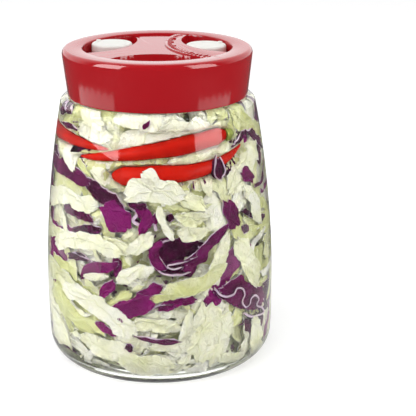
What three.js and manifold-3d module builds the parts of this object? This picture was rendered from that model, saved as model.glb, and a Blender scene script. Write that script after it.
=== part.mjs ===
// A fermentation jar: a bellied glass jar under a red grip lid, packed with shredded
// cabbage and three chillies. Millimetres, +Z up, origin at the middle of the base.
import * as THREE from "three";
import { mergeVertices } from "three/addons/utils/BufferGeometryUtils.js";
import Module from "manifold-3d";

// Driving dimensions
const TOTAL_HEIGHT = 170.4;
const BELLY_RADIUS = 62.5;
const BELLY_HEIGHT = 33; // where the side is widest
const SIDE_BOW = 0.00088; // how fast the side draws in above and below the belly, per mm
const WALL = 2.8;
const FLOOR = 5.2;
const GAP = 0.3; // between pieces that touch

// Glass
const GLASS_SEGMENTS = 56;
const HEEL_RADIUS = 12.5;
const HEEL_HEIGHT = 13.5;
const PUNT_RADIUS = 40;
const PUNT_DEPTH = 1.1;
const SHOULDER_Z = 141.2; // the side ends and the shoulder turns in
const SHOULDER_TOP_Z = 144.9;
const SHOULDER_TOP_RADIUS = 48;
const NECK_RADIUS = 44.4;
const MOUTH_RADIUS = 41;
const NECK_TOP_Z = 157.2;

// Lid
const LID_SEGMENTS = 64;
const LID_BOTTOM_Z = 145.4;
const LID_BOTTOM_RADIUS = 47.9;
const LID_TOP_RADIUS = 50.3;
const LID_EDGE_FILLET = 2.2;
const LID_CAVITY_RADIUS = 46;
const LID_CAVITY_TOP_Z = 157.8;
const RIM_INNER_RADIUS = 39.6;
const HUB_Z = TOTAL_HEIGHT - 1.1;
const RECESS_FLOOR_Z = 160.3;
const RECESSES = {
  front: { radius: 28, centre: 44.2, turn: 270 },
  left: { radius: 37.5, centre: 54, turn: 156 },
  right: { radius: 37.5, centre: 54, turn: 23 },
};
const RECESS_SEGMENTS = 72;
const BAND = { radius: 52.7, centre: 58, turn: 15 }; // the raised tick band round the right recess
const TICK = { count: 21, first: 158, last: 236, length: 2.6, width: 0.8, rise: 0.45, inset: 2.2 };

// Vent plugs
const PLUG_RADIUS = 10.9;
const PLUG_CENTRE = 28;
const PLUG_TURNS = { left: 153, right: 24 };
const PLUG_TOP_Z = { left: 170.0, right: 169.4 };
const PLUG_FILLET = 1.2;
const PLUG_NUB = { radius: 1.3, height: 0.9 };

// Filling
const CORE_GAP = 4; // from the glass to the bare core
const CORE_UNEVEN = 1.1;
const CORE_SEGMENTS = 28;
const CORE_ROWS = 11;
const HEAP_TOP_Z = 151;
const SHRED_COUNT = 43;
const SHRED_LENGTH = [20, 40];
const SHRED_WIDTH = [7, 15];
const SHRED_DEPTH = 6.5;
const SHRED_WAVE = 0.9;
const LEAST_SHRED_GAP = 0.5;
const SEED = 17;

// Each chilli: its centreline as [degrees round from the front, height, extra depth behind the wall]
const CHILLIES = {
  chilli_left: {
    radius: 4.3,
    blunt: 0.5,
    line: [
      [-110, 124, 0],
      [-92, 126.2, 0],
      [-74, 126.5, 0],
      [-56, 126.3, 0],
      [-44, 125.9, 0.2],
      [-35, 125.5, 0.8],
      [-28, 125.3, 2],
    ],
  },
  chilli_upper: {
    radius: 4.9,
    blunt: 0.9,
    line: [
      [49, 131, 0],
      [36, 130.6, 0],
      [22, 129.1, 0],
      [6, 127, 0],
      [-10, 124.9, 0],
      [-26, 122.4, 0],
      [-38, 120.6, 0],
      [-50, 119.2, 0],
    ],
  },
  chilli_lower: {
    radius: 5.3,
    blunt: 0.9,
    line: [
      [-26, 112.6, 0],
      [-14, 113.2, 0],
      [2, 113.9, 0],
      [18, 114.4, 0],
      [32, 115.9, 0],
      [46, 118.8, 0],
      [60, 123.4, 0],
    ],
  },
};
const CHILLI_SIDES = 10;
const CHILLI_STEPS = 21;

const wasm = await Module();
wasm.setup();

// A closed geometry as a manifold-3d solid.
function solidOf(geometry) {
  const bare = new THREE.BufferGeometry()
    .setAttribute("position", geometry.getAttribute("position"))
    .setIndex(geometry.index);
  const merged = mergeVertices(bare, 1e-3);
  return new wasm.Manifold(
    new wasm.Mesh({
      numProp: 3,
      vertProperties: new Float32Array(merged.attributes.position.array),
      triVerts: new Uint32Array(merged.index.array),
    }),
  );
}

// A solid back as a geometry with flat-shaded faces.
function geometryOf(solid) {
  const mesh = solid.getMesh();
  const indexed = new THREE.BufferGeometry()
    .setAttribute("position", new THREE.BufferAttribute(mesh.vertProperties, 3))
    .setIndex(new THREE.BufferAttribute(mesh.triVerts, 1));
  const geometry = indexed.toNonIndexed();
  geometry.computeVertexNormals();
  return geometry;
}

// Turns a profile of [radius, height] points about the vertical axis.
function turned(profile, segments) {
  const points = profile.map(([radius, height]) => new THREE.Vector2(radius, height));
  return new THREE.LatheGeometry(points, segments).rotateX(Math.PI / 2);
}

// Points of a quarter ellipse from one end to the other, about a centre.
function arc(centreRadius, centreZ, radius, height, fromDegrees, toDegrees, steps) {
  return Array.from({ length: steps + 1 }, (_, i) => {
    const angle = THREE.MathUtils.degToRad(fromDegrees + ((toDegrees - fromDegrees) * i) / steps);
    return [centreRadius + radius * Math.cos(angle), centreZ + height * Math.sin(angle)];
  });
}

// An upright cylinder between two heights, standing at a distance from the axis.
function post(radius, lowZ, highZ, segments, distance = 0, degrees = 0) {
  const angle = THREE.MathUtils.degToRad(degrees);
  return new THREE.CylinderGeometry(radius, radius, highZ - lowZ, segments)
    .rotateX(Math.PI / 2)
    .translate(distance * Math.cos(angle), distance * Math.sin(angle), (lowZ + highZ) / 2);
}

function glassRadius(z) {
  return BELLY_RADIUS - SIDE_BOW * (z - BELLY_HEIGHT) ** 2;
}

// The glass's inner face, from the floor to the mouth.
function innerRadius(z) {
  const heelTop = FLOOR + HEEL_HEIGHT - WALL;
  const side = glassRadius(z) - WALL;
  if (z < heelTop) {
    const drop = (heelTop - z) / (heelTop - FLOOR);
    return side - (HEEL_RADIUS - WALL) * (1 - Math.sqrt(Math.max(0, 1 - drop * drop)));
  }
  if (z > SHOULDER_Z) {
    const rise = Math.min(1, (z - SHOULDER_Z) / (SHOULDER_TOP_Z + 1 - SHOULDER_Z));
    return THREE.MathUtils.lerp(side, MOUTH_RADIUS, rise * rise);
  }
  return side;
}

function glassProfile() {
  const heelRadius = glassRadius(HEEL_HEIGHT);
  const sideRadius = glassRadius(SHOULDER_Z);
  const outside = [
    [0, PUNT_DEPTH],
    [PUNT_RADIUS, PUNT_DEPTH],
    [PUNT_RADIUS + 2, 0],
    ...arc(heelRadius - HEEL_RADIUS, HEEL_HEIGHT, HEEL_RADIUS, HEEL_HEIGHT, -90, 0, 5),
    ...[BELLY_HEIGHT, 62, 92, 120].map((z) => [glassRadius(z), z]),
    ...arc(SHOULDER_TOP_RADIUS, SHOULDER_Z, sideRadius - SHOULDER_TOP_RADIUS, SHOULDER_TOP_Z - SHOULDER_Z, 0, 90, 3),
    [NECK_RADIUS, SHOULDER_TOP_Z + 0.2],
    [NECK_RADIUS, NECK_TOP_Z - 0.8],
    [NECK_RADIUS - 0.8, NECK_TOP_Z],
    [MOUTH_RADIUS, NECK_TOP_Z],
  ];
  const inside = [SHOULDER_TOP_Z + 1, 143.5, SHOULDER_Z, 120, 92, 62, BELLY_HEIGHT, 15.5, 10, 6.7];
  return [...outside, ...inside.map((z) => [innerRadius(z), z]), [innerRadius(FLOOR), FLOOR], [0, FLOOR]];
}

function glassJar() {
  return turned(glassProfile(), GLASS_SEGMENTS);
}

// The plan of a finger recess, or of the band round it, as an upright solid.
function scoop({ radius, centre, turn }, lowZ, highZ, within) {
  const round = solidOf(post(radius, lowZ, highZ, RECESS_SEGMENTS, centre, turn));
  return round.intersect(solidOf(post(within, lowZ - 1, highZ + 1, LID_SEGMENTS)));
}

// Short ribs along the band's outer edge, where the scale is read.
function ticks() {
  const centreAngle = THREE.MathUtils.degToRad(BAND.turn);
  const centre = new THREE.Vector2(Math.cos(centreAngle), Math.sin(centreAngle)).multiplyScalar(BAND.centre);
  return Array.from({ length: TICK.count }, (_, i) => {
    const turn = TICK.first + ((TICK.last - TICK.first) * i) / (TICK.count - 1);
    const angle = THREE.MathUtils.degToRad(turn);
    const distance = BAND.radius - TICK.inset - TICK.length / 2;
    const rib = new THREE.BoxGeometry(TICK.length, TICK.width, 2 * TICK.rise)
      .rotateZ(angle)
      .translate(centre.x + distance * Math.cos(angle), centre.y + distance * Math.sin(angle), TOTAL_HEIGHT - TICK.rise);
    return solidOf(rib);
  });
}

function lidShell() {
  const profile = [
    [0, LID_CAVITY_TOP_Z],
    [LID_CAVITY_RADIUS, LID_CAVITY_TOP_Z],
    [LID_CAVITY_RADIUS, LID_BOTTOM_Z + 0.6],
    [LID_CAVITY_RADIUS + 0.5, LID_BOTTOM_Z],
    [LID_BOTTOM_RADIUS - 0.5, LID_BOTTOM_Z],
    [LID_BOTTOM_RADIUS, LID_BOTTOM_Z + 0.6],
    ...arc(
      LID_TOP_RADIUS - LID_EDGE_FILLET,
      TOTAL_HEIGHT - LID_EDGE_FILLET,
      LID_EDGE_FILLET,
      LID_EDGE_FILLET,
      0,
      90,
      4,
    ),
    [RIM_INNER_RADIUS + 0.5, TOTAL_HEIGHT],
    [RIM_INNER_RADIUS, TOTAL_HEIGHT - 0.4],
    [RIM_INNER_RADIUS, HUB_Z],
    [0, HUB_Z],
  ];
  return solidOf(turned(profile, LID_SEGMENTS));
}

function lid() {
  const band = scoop(BAND, HUB_Z - 0.5, TOTAL_HEIGHT - TICK.rise, RIM_INNER_RADIUS + 0.2);
  const recesses = Object.values(RECESSES).map((recess) =>
    scoop(recess, RECESS_FLOOR_Z, TOTAL_HEIGHT + 1, RIM_INNER_RADIUS),
  );
  const solid = wasm.Manifold.union([lidShell(), band, ...ticks()]).subtract(wasm.Manifold.union(recesses));
  return geometryOf(solid);
}

// A round plug with a softened edge and a small nub, standing on a recess floor.
function ventPlug(side) {
  const low = RECESS_FLOOR_Z + GAP;
  const top = PLUG_TOP_Z[side];
  const angle = THREE.MathUtils.degToRad(PLUG_TURNS[side]);
  const profile = [
    [0, low],
    [PLUG_RADIUS, low],
    ...arc(PLUG_RADIUS - PLUG_FILLET, top - PLUG_FILLET, PLUG_FILLET, PLUG_FILLET, 0, 75, 3),
    [0, top + 0.2],
  ];
  const nubDistance = PLUG_RADIUS - 2 * PLUG_NUB.radius;
  const nub = post(PLUG_NUB.radius, top - 1, top + PLUG_NUB.height, 12).translate(
    nubDistance * Math.cos(angle),
    nubDistance * Math.sin(angle),
    0,
  );
  return geometryOf(solidOf(turned(profile, 24)).add(solidOf(nub))).translate(
    PLUG_CENTRE * Math.cos(angle),
    PLUG_CENTRE * Math.sin(angle),
    0,
  );
}

// A point beside the glass: degrees round from the front, height, and distance in from the inner face.
function beside(degrees, z, depth) {
  const angle = THREE.MathUtils.degToRad(degrees - 90);
  const radius = innerRadius(z) - depth;
  return new THREE.Vector3(radius * Math.cos(angle), radius * Math.sin(angle), z);
}

// How thick the pod is along its length, from the blunt end at 0 to the tip at 1.
function podShare(along, blunt) {
  const shoulder = Math.sqrt(Math.min(1, along / 0.09));
  const taper = Math.pow(Math.max(0, 1 - along), 0.55);
  return Math.max(0, Math.min(1, (blunt + (1 - blunt) * Math.min(1, along * 4)) * shoulder * Math.min(1, 1.25 * taper)));
}

// A pod turned on the lathe and then bent along its line, which keeps it against the glass.
function chilli({ radius, blunt, line }, extra = 0, depthShare = 1) {
  const curve = new THREE.CatmullRomCurve3(
    line.map(([degrees, z, depth]) => beside(degrees, z, GAP + 0.3 + radius + depth * depthShare)),
  );
  const length = curve.getLength();
  const profile = Array.from({ length: CHILLI_STEPS + 1 }, (_, i) => {
    const along = i / CHILLI_STEPS;
    const ends = i === 0 || i === CHILLI_STEPS;
    return new THREE.Vector2(ends ? 0 : radius * podShare(along, blunt) + extra, along);
  });
  const pod = new THREE.LatheGeometry(profile, CHILLI_SIDES);
  const places = pod.getAttribute("position");
  for (let i = 0; i < places.count; i++) {
    const along = places.getY(i);
    const centre = curve.getPointAt(along);
    const tangent = curve.getTangentAt(along);
    const out = new THREE.Vector3(centre.x, centre.y, 0).normalize();
    const up = new THREE.Vector3().crossVectors(tangent, out).normalize();
    const side = new THREE.Vector3().crossVectors(tangent, up).normalize();
    const reach = (along === 0 ? -extra : along === 1 ? extra : 0) / length;
    const place = centre
      .addScaledVector(tangent, reach * length)
      .addScaledVector(side, places.getX(i))
      .addScaledVector(up, places.getZ(i));
    places.setXYZ(i, place.x, place.y, place.z);
  }
  return pod;
}

// A seeded draw between 0 and 1.
function drawer(seed) {
  let state = seed;
  return () => {
    state = (state + 0x6d2b79f5) | 0;
    let t = Math.imul(state ^ (state >>> 15), 1 | state);
    t = (t + Math.imul(t ^ (t >>> 7), 61 | t)) ^ t;
    return ((t ^ (t >>> 14)) >>> 0) / 4294967296;
  };
}

// The packed mass inside the glass, uneven like a pile of leaves.
function core() {
  const lowZ = FLOOR + GAP;
  const rows = Array.from({ length: CORE_ROWS + 1 }, (_, i) => lowZ + 2 + ((HEAP_TOP_Z - 2 - lowZ - 2) * i) / CORE_ROWS);
  const profile = [
    [0, lowZ],
    [innerRadius(lowZ + 0.5) - CORE_GAP - 3, lowZ],
    ...rows.map((z) => [innerRadius(z) - CORE_GAP, z]),
    [MOUTH_RADIUS - CORE_GAP - 8, HEAP_TOP_Z],
    [0, HEAP_TOP_Z],
  ];
  const pile = turned(profile, CORE_SEGMENTS);
  const places = pile.getAttribute("position");
  for (let i = 0; i < places.count; i++) {
    const place = new THREE.Vector3().fromBufferAttribute(places, i);
    const radius = Math.hypot(place.x, place.y);
    if (radius < 1 || place.z < lowZ + 1) continue;
    const turn = Math.atan2(place.y, place.x);
    const wave = Math.sin(5 * turn + 0.11 * place.z) + Math.sin(9 * turn - 0.23 * place.z + 1.7);
    const share = 1 + (CORE_UNEVEN * 0.5 * wave) / radius;
    places.setXYZ(i, place.x * share, place.y * share, place.z);
  }
  return solidOf(pile);
}

// A shred or torn leaf pressed against the glass, its root sunk in the core.
function shred({ degrees, z, length, width, tilt, phase }) {
  const flat = new THREE.BoxGeometry(length, width, 1, 4, 2, 1);
  const places = flat.getAttribute("position");
  const turn = THREE.MathUtils.degToRad(tilt);
  for (let i = 0; i < places.count; i++) {
    const along = places.getX(i) / length;
    const bulge = 0.72 + 0.28 * Math.cos(2 * Math.PI * along) + 0.14 * Math.sin(7 * along + phase);
    const across = places.getY(i) * bulge + 1.8 * Math.sin(4 * along + phase);
    const outer = places.getZ(i) > 0;
    const wave = 1 + Math.sin(9 * along + phase) * Math.cos((3 * places.getY(i)) / width + phase);
    const round = along * length * Math.cos(turn) - across * Math.sin(turn);
    const height = THREE.MathUtils.clamp(
      z + along * length * Math.sin(turn) + across * Math.cos(turn),
      FLOOR + 3,
      SHOULDER_Z - 0.5,
    );
    const depth = outer ? LEAST_SHRED_GAP + SHRED_WAVE * wave : SHRED_DEPTH;
    const place = beside(degrees + THREE.MathUtils.radToDeg(round / innerRadius(z)), height, depth);
    places.setXYZ(i, place.x, place.y, place.z);
  }
  return solidOf(flat);
}

// The cabbage: a core dented by the chillies, with the shreds that show fused on.
function cabbageHeap() {
  const draw = drawer(SEED);
  const between = ([low, high]) => low + (high - low) * draw();
  const dents = wasm.Manifold.union(
    [0, 1].flatMap((share) => Object.values(CHILLIES).map((pod) => solidOf(chilli(pod, GAP + 0.1, share)))),
  );
  const golden = 137.508;
  const pieces = [];
  for (let i = 0; i < SHRED_COUNT; i++) {
    const piece = shred({
      degrees: (i * golden) % 360,
      z: 14 + (130 * (i + 0.5)) / SHRED_COUNT,
      length: between(SHRED_LENGTH),
      width: between(SHRED_WIDTH),
      tilt: 120 * draw() - 60,
      phase: 6.28 * draw(),
    });
    const sound = piece.volume() > 0 && piece.intersect(dents).volume() < 0.01;
    if (sound) pieces.push(piece);
  }
  const heap = wasm.Manifold.union([core().subtract(dents), ...pieces]);
  const largest = heap.decompose().sort((a, b) => b.volume() - a.volume())[0];
  return geometryOf(largest.simplify ? largest.simplify(0.04) : largest);
}

const finishes = {
  glass: new THREE.MeshStandardMaterial({ color: 0xe8efec, roughness: 0.05, transparent: true, opacity: 0.3 }),
  lidRed: new THREE.MeshStandardMaterial({ color: 0xb81f28, roughness: 0.22 }),
  plugWhite: new THREE.MeshStandardMaterial({ color: 0xeceae4, roughness: 0.5 }),
  cabbage: new THREE.MeshStandardMaterial({ color: 0xe3e6c2, roughness: 0.55 }),
  chilliRed: new THREE.MeshStandardMaterial({ color: 0xd9200f, roughness: 0.25 }),
};

function piece(name, geometry, material) {
  const mesh = new THREE.Mesh(geometry, material);
  mesh.name = name;
  return mesh;
}

const jar = new THREE.Group();
jar.add(
  piece("jar_glass", glassJar(), finishes.glass),
  piece("lid", lid(), finishes.lidRed),
  piece("vent_plug_left", ventPlug("left"), finishes.plugWhite),
  piece("vent_plug_right", ventPlug("right"), finishes.plugWhite),
  piece("cabbage_heap", cabbageHeap(), finishes.cabbage),
  ...Object.entries(CHILLIES).map(([name, pod]) => piece(name, chilli(pod), finishes.chilliRed)),
);

export default jar;
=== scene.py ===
"""The looks of a fermentation jar: clear glass, a red grip lid with two white vent plugs,
and a filling of torn white and red cabbage with three chillies.

All sizes in the classes are millimetres; meshes are made in metres. Angles round the jar
are degrees from the front, growing to the right. Pieces of the filling are placed by the
pixels of the photograph at which they touch the glass.
"""

from __future__ import annotations

import logging
import math
from collections.abc import Callable
from dataclasses import dataclass, replace
from enum import Enum

import bpy
import numpy as np
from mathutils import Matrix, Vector

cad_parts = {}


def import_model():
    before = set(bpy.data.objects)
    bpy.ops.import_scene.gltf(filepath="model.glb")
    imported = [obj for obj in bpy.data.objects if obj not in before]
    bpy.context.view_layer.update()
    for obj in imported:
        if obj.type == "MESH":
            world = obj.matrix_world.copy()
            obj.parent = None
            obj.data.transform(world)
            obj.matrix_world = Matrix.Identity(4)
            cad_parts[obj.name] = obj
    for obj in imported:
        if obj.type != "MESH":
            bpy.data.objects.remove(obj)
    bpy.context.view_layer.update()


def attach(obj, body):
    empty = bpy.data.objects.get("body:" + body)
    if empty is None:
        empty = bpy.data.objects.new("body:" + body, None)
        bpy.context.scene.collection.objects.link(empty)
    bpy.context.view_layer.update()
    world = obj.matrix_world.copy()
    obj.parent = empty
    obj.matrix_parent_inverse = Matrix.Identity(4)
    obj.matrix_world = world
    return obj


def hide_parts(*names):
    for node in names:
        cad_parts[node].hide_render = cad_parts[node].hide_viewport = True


LOG = logging.getLogger("fermentation_jar")
MM = 0.001
BODY = "root"
IMAGE_PIXELS = 416

Pair = tuple[float, float]
Pixel = Pair
Colour = tuple[float, float, float]
Point = tuple[float, float, float]
Socket = bpy.types.NodeSocket


class Kind(Enum):
    """What a torn piece of the filling is."""

    WHITE = "white_cabbage"
    RED = "red_cabbage"


# The jar's shape, which the filling needs too


@dataclass(frozen=True)
class JarShape:
    """The glass jar's profile, as in the part's source."""

    belly_radius: float = 62.5
    belly_height: float = 33.0
    side_bow: float = 0.00088
    wall: float = 2.8
    floor: float = 5.2
    heel_radius: float = 12.5
    heel_height: float = 13.5
    punt_radius: float = 40.0
    punt_depth: float = 1.1
    shoulder_z: float = 141.2
    shoulder_top_z: float = 144.9
    shoulder_top_radius: float = 48.0
    neck_radius: float = 44.4
    mouth_radius: float = 41.0
    neck_top_z: float = 157.2

    def outer(self, z: np.ndarray | float) -> np.ndarray | float:
        """Gives the outer radius of the side at a height."""
        return self.belly_radius - self.side_bow * (z - self.belly_height) ** 2

    def inner(self, z: np.ndarray | float) -> np.ndarray:
        """Gives the radius of the inner face at a height.

        Args:
            z: Height in millimetres, one value or many.

        Returns:
            The radius at each height.
        """
        z = np.asarray(z, float)
        heel_top = self.floor + self.heel_height - self.wall
        side = self.outer(z) - self.wall
        drop = np.clip((heel_top - z) / (heel_top - self.floor), 0, 1)
        heel = (self.heel_radius - self.wall) * (1 - np.sqrt(1 - drop**2))
        rise = np.clip((z - self.shoulder_z) / (self.shoulder_top_z + 1 - self.shoulder_z), 0, 1)
        return (side - heel) * (1 - rise**2) + self.mouth_radius * rise**2


JAR = JarShape()
BRINE_LEVEL = 149.0


@dataclass(frozen=True)
class PhotoCamera:
    """The camera that took the photograph, fitted to the outlines of jar and lid.

    The search is the stretch of each pixel's ray, in millimetres, in which it meets the jar.
    """

    place: Point = (26.7, -629.4, 289.0)
    pitch: float = 0.320
    focal_pixels: float = 1203.6
    sensor: float = 36.0
    search: tuple[float, float] = (480.0, 720.0)

    def build(self) -> None:
        """Makes the scene's camera."""
        data = bpy.data.cameras.new("photo_camera")
        data.sensor_width = self.sensor
        data.sensor_fit = "HORIZONTAL"
        data.lens = self.sensor * self.focal_pixels / IMAGE_PIXELS
        data.clip_start = 0.01
        camera = bpy.data.objects.new("photo_camera", data)
        camera.location = Vector(self.place) * MM
        camera.rotation_euler = (math.pi / 2 - self.pitch, 0, 0)
        bpy.context.scene.collection.objects.link(camera)
        bpy.context.scene.camera = camera

    def on_glass(self, pixel: Pixel, depth: float = 0.0) -> tuple[float, float]:
        """Finds where a pixel's ray meets the front of the filling.

        Args:
            pixel: Column and row in the photograph.
            depth: Distance behind the inner face of the glass.

        Returns:
            Arc length round the jar from the front and height, both in millimetres.
        """
        middle = IMAGE_PIXELS / 2
        right = (pixel[0] - middle) / self.focal_pixels
        up = (middle - pixel[1]) / self.focal_pixels
        cos, sin = math.cos(self.pitch), math.sin(self.pitch)
        ray = np.array([right, cos + up * sin, up * cos - sin])
        steps = np.linspace(*self.search, 1201)[:, None]
        spots = np.array(self.place) + ray * steps
        reach = np.hypot(spots[:, 0], spots[:, 1])
        inside = reach < JAR.inner(spots[:, 2]) - depth
        near = int(np.argmax(inside)) if inside.any() else int(np.argmin(reach))
        spot = spots[near]
        return math.atan2(spot[0], -spot[1]) * Unrolled.RADIUS, float(spot[2])


class Unrolled:
    """The inner face of the glass laid flat: x is arc length, y height, z depth inwards.

    Arc lengths are taken at RADIUS. Leaves keep CLEAR of the glass, and between LOW and HIGH.
    """

    RADIUS = 58.0
    CLEAR = 0.35
    LOW = 6.4
    HIGH = 150.5

    @classmethod
    def rolled(cls, flat: np.ndarray) -> np.ndarray:
        """Rolls flat points up into the jar, and keeps them clear of the glass.

        Args:
            flat: Points as rows of arc, height and depth.

        Returns:
            The same points as rows of X, Y and Z in millimetres.
        """
        angle = flat[:, 0] / cls.RADIUS - math.pi / 2
        height = np.clip(flat[:, 1], cls.LOW, cls.HIGH)
        radius = JAR.inner(height) - np.maximum(flat[:, 2], cls.CLEAR)
        radius = np.maximum(radius, 2.0)
        return np.stack([radius * np.cos(angle), radius * np.sin(angle), height], axis=1)


# Node trees


class Tree:
    """A thin hand on a node tree, for short node code."""

    def __init__(self, tree: bpy.types.NodeTree) -> None:
        """Keeps the tree that nodes are added to."""
        self.tree = tree

    def feed(self, node: bpy.types.Node, values: dict) -> bpy.types.Node:
        """Sets or links a node's inputs.

        Args:
            node: The node.
            values: Input names or places, with a value or a socket to link.

        Returns:
            The same node.
        """
        for name, value in values.items():
            socket = node.inputs[name]
            if isinstance(value, bpy.types.NodeSocket):
                self.tree.links.new(value, socket)
            else:
                socket.default_value = value
        return node

    def add(self, kind: str, values: dict | None = None, **settings: object) -> bpy.types.Node:
        """Adds a node, with its settings and the values or links of its inputs.

        Args:
            kind: The node's type name without the ShaderNode prefix.
            values: Input names or places, with a value or a socket to link.
            settings: Attributes of the node itself.

        Returns:
            The new node.
        """
        node = self.tree.nodes.new("ShaderNode" + kind)
        for name, setting in settings.items():
            setattr(node, name, setting)
        return self.feed(node, values or {})

    def ramp(self, factor: Socket, stops: list[tuple[float, Colour]]) -> Socket:
        """Adds a colour ramp.

        Args:
            factor: The socket that drives it.
            stops: Places from 0 to 1 and their colours.

        Returns:
            The ramp's colour socket.
        """
        node = self.add("ValToRGB", {"Fac": factor})
        elements = node.color_ramp.elements
        while len(elements) < len(stops):
            elements.new(0.5)
        for element, (place, colour) in zip(elements, stops):
            element.position = place
            element.color = (*colour, 1)
        return node.outputs["Color"]

    def mix(self, factor: float | Socket, low: Colour | Socket, high: Colour | Socket) -> Socket:
        """Mixes two colours.

        Args:
            factor: Share of the second colour, a value or a socket.
            low: The first colour or its socket.
            high: The second colour or its socket.

        Returns:
            The mixed colour's socket.
        """
        ends = [end if isinstance(end, bpy.types.NodeSocket) else (*end, 1) for end in (low, high)]
        return self.add("Mix", {0: factor, 6: ends[0], 7: ends[1]}, data_type="RGBA").outputs[2]

    def math(self, operation: str, *terms: float | Socket) -> Socket:
        """Adds one step of arithmetic.

        Args:
            operation: Name of the operation.
            terms: Two or three values or sockets.

        Returns:
            The result's socket.
        """
        return self.add("Math", dict(enumerate(terms)), operation=operation).outputs[0]

    def span(
        self, value: Socket, low: float, high: float, start: float = 0.0, end: float = 1.0
    ) -> Socket:
        """Maps a mask that runs from start to end onto low to high."""
        ends = {"From Min": start, "From Max": end, "To Min": low, "To Max": high}
        return self.add("MapRange", {"Value": value, **ends}).outputs["Result"]


def new_group(
    name: str, inputs: dict[str, float | None], outputs: tuple[str, ...]
) -> tuple[Tree, bpy.types.Node, bpy.types.Node]:
    """Starts a shader node group with named sockets.

    Args:
        name: The group's name.
        inputs: Input names with their default value, or None for a vector.
        outputs: Names of the masks and heights that it puts out.

    Returns:
        A hand on the group's tree, its input node and its output node.
    """
    group = bpy.data.node_groups.new(name, "ShaderNodeTree")
    for label, value in inputs.items():
        kind = "NodeSocketVector" if value is None else "NodeSocketFloat"
        socket = group.interface.new_socket(label, in_out="INPUT", socket_type=kind)
        if value is not None:
            socket.default_value = value
    for label in outputs:
        group.interface.new_socket(label, in_out="OUTPUT", socket_type="NodeSocketFloat")
    return Tree(group), group.nodes.new("NodeGroupInput"), group.nodes.new("NodeGroupOutput")


def mottle_group() -> bpy.types.NodeTree:
    """Builds the group for soft uneven colour, used by every solid finish.

    Returns:
        The group, which puts out a mask of large patches and one of small specks.
    """
    inputs = {"Place": None, "Patch Scale": 30.0, "Speck Scale": 400.0}
    tree, given, result = new_group("uneven_tone", inputs, ("Patches", "Specks"))
    masks = {}
    for label, scale, detail in (("Patches", "Patch Scale", 3.0), ("Specks", "Speck Scale", 2.0)):
        values = {"Vector": given.outputs["Place"], "Scale": given.outputs[scale], "Detail": detail}
        masks[label] = tree.add("TexNoise", values).outputs["Fac"]
    tree.feed(result, masks)
    return tree.tree


def vein_group() -> bpy.types.NodeTree:
    """Builds the group for leaf veins, used by both cabbages.

    Returns:
        The group, which puts out the vein mask and a relief height.
    """
    inputs = {"Place": None, "Vein Scale": 0.12, "Fine Scale": 0.5}
    tree, given, result = new_group("leaf_veins", inputs, ("Veins", "Relief"))
    place = given.outputs["Place"]
    wander = tree.add("TexNoise", {"Vector": place, "Scale": 0.15, "Detail": 2.0})
    shift = tree.add("VectorMath", {0: wander.outputs["Color"], 1: (7.0, 7.0, 0.0)}, operation="MULTIPLY")
    bent = tree.add("VectorMath", {0: place, 1: shift.outputs[0]}, operation="ADD").outputs[0]
    long = tree.add("VectorMath", {0: bent, 1: (0.45, 1.0, 1.0)}, operation="MULTIPLY").outputs[0]
    lines = []
    for path, scale, reach, strength in ((long, "Vein Scale", 0.09, 1.0), (bent, "Fine Scale", 0.12, 0.4)):
        values = {"Vector": path, "Scale": given.outputs[scale]}
        cells = tree.add("TexVoronoi", values, feature="DISTANCE_TO_EDGE")
        lines.append(tree.span(cells.outputs["Distance"], strength, 0.0, end=reach))
    veins = tree.math("MAXIMUM", *lines)
    rough = tree.add("TexNoise", {"Vector": place, "Scale": 0.9, "Detail": 4.0})
    relief = tree.math("MULTIPLY_ADD", rough.outputs["Fac"], 0.7, veins)
    tree.feed(result, {"Veins": veins, "Relief": relief})
    return tree.tree


class Groups:
    """The shared node groups, each built once."""

    _made: dict[str, bpy.types.NodeTree] = {}

    @classmethod
    def place(cls, tree: Tree, maker: Callable[[], bpy.types.NodeTree], values: dict) -> bpy.types.Node:
        """Places a shared group in a material.

        Args:
            tree: The material's tree.
            maker: The function that builds the group.
            values: The group's input values or sockets.

        Returns:
            The group node.
        """
        name = maker.__name__
        if name not in cls._made:
            cls._made[name] = maker()
        return tree.add("Group", values, node_tree=cls._made[name])

    @classmethod
    def mottle(cls, tree: Tree, place: Socket, patches: float, specks: float) -> bpy.types.Node:
        """Places the group for uneven colour, with its two scales."""
        values = {"Place": place, "Patch Scale": patches, "Speck Scale": specks}
        return cls.place(tree, mottle_group, values)


# Finishes


def new_material(name: str) -> tuple[bpy.types.Material, Tree, bpy.types.Node, bpy.types.Node]:
    """Starts a material with a Principled shader.

    Args:
        name: The material's name.

    Returns:
        The material, a hand on its tree, its Principled node and its output node.
    """
    material = bpy.data.materials.new(name)
    material.use_nodes = True
    tree = Tree(material.node_tree)
    shader = material.node_tree.nodes["Principled BSDF"]
    output = material.node_tree.nodes["Material Output"]
    return material, tree, shader, output


def bumped(tree: Tree, height: Socket, strength: float, distance: float) -> Socket:
    """Turns a height into a normal.

    Args:
        tree: The material's tree.
        height: The height's socket.
        strength: Share of the bump.
        distance: Its height in metres.

    Returns:
        The normal's socket.
    """
    return tree.add("Bump", {"Height": height, "Strength": strength, "Distance": distance}).outputs["Normal"]


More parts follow.
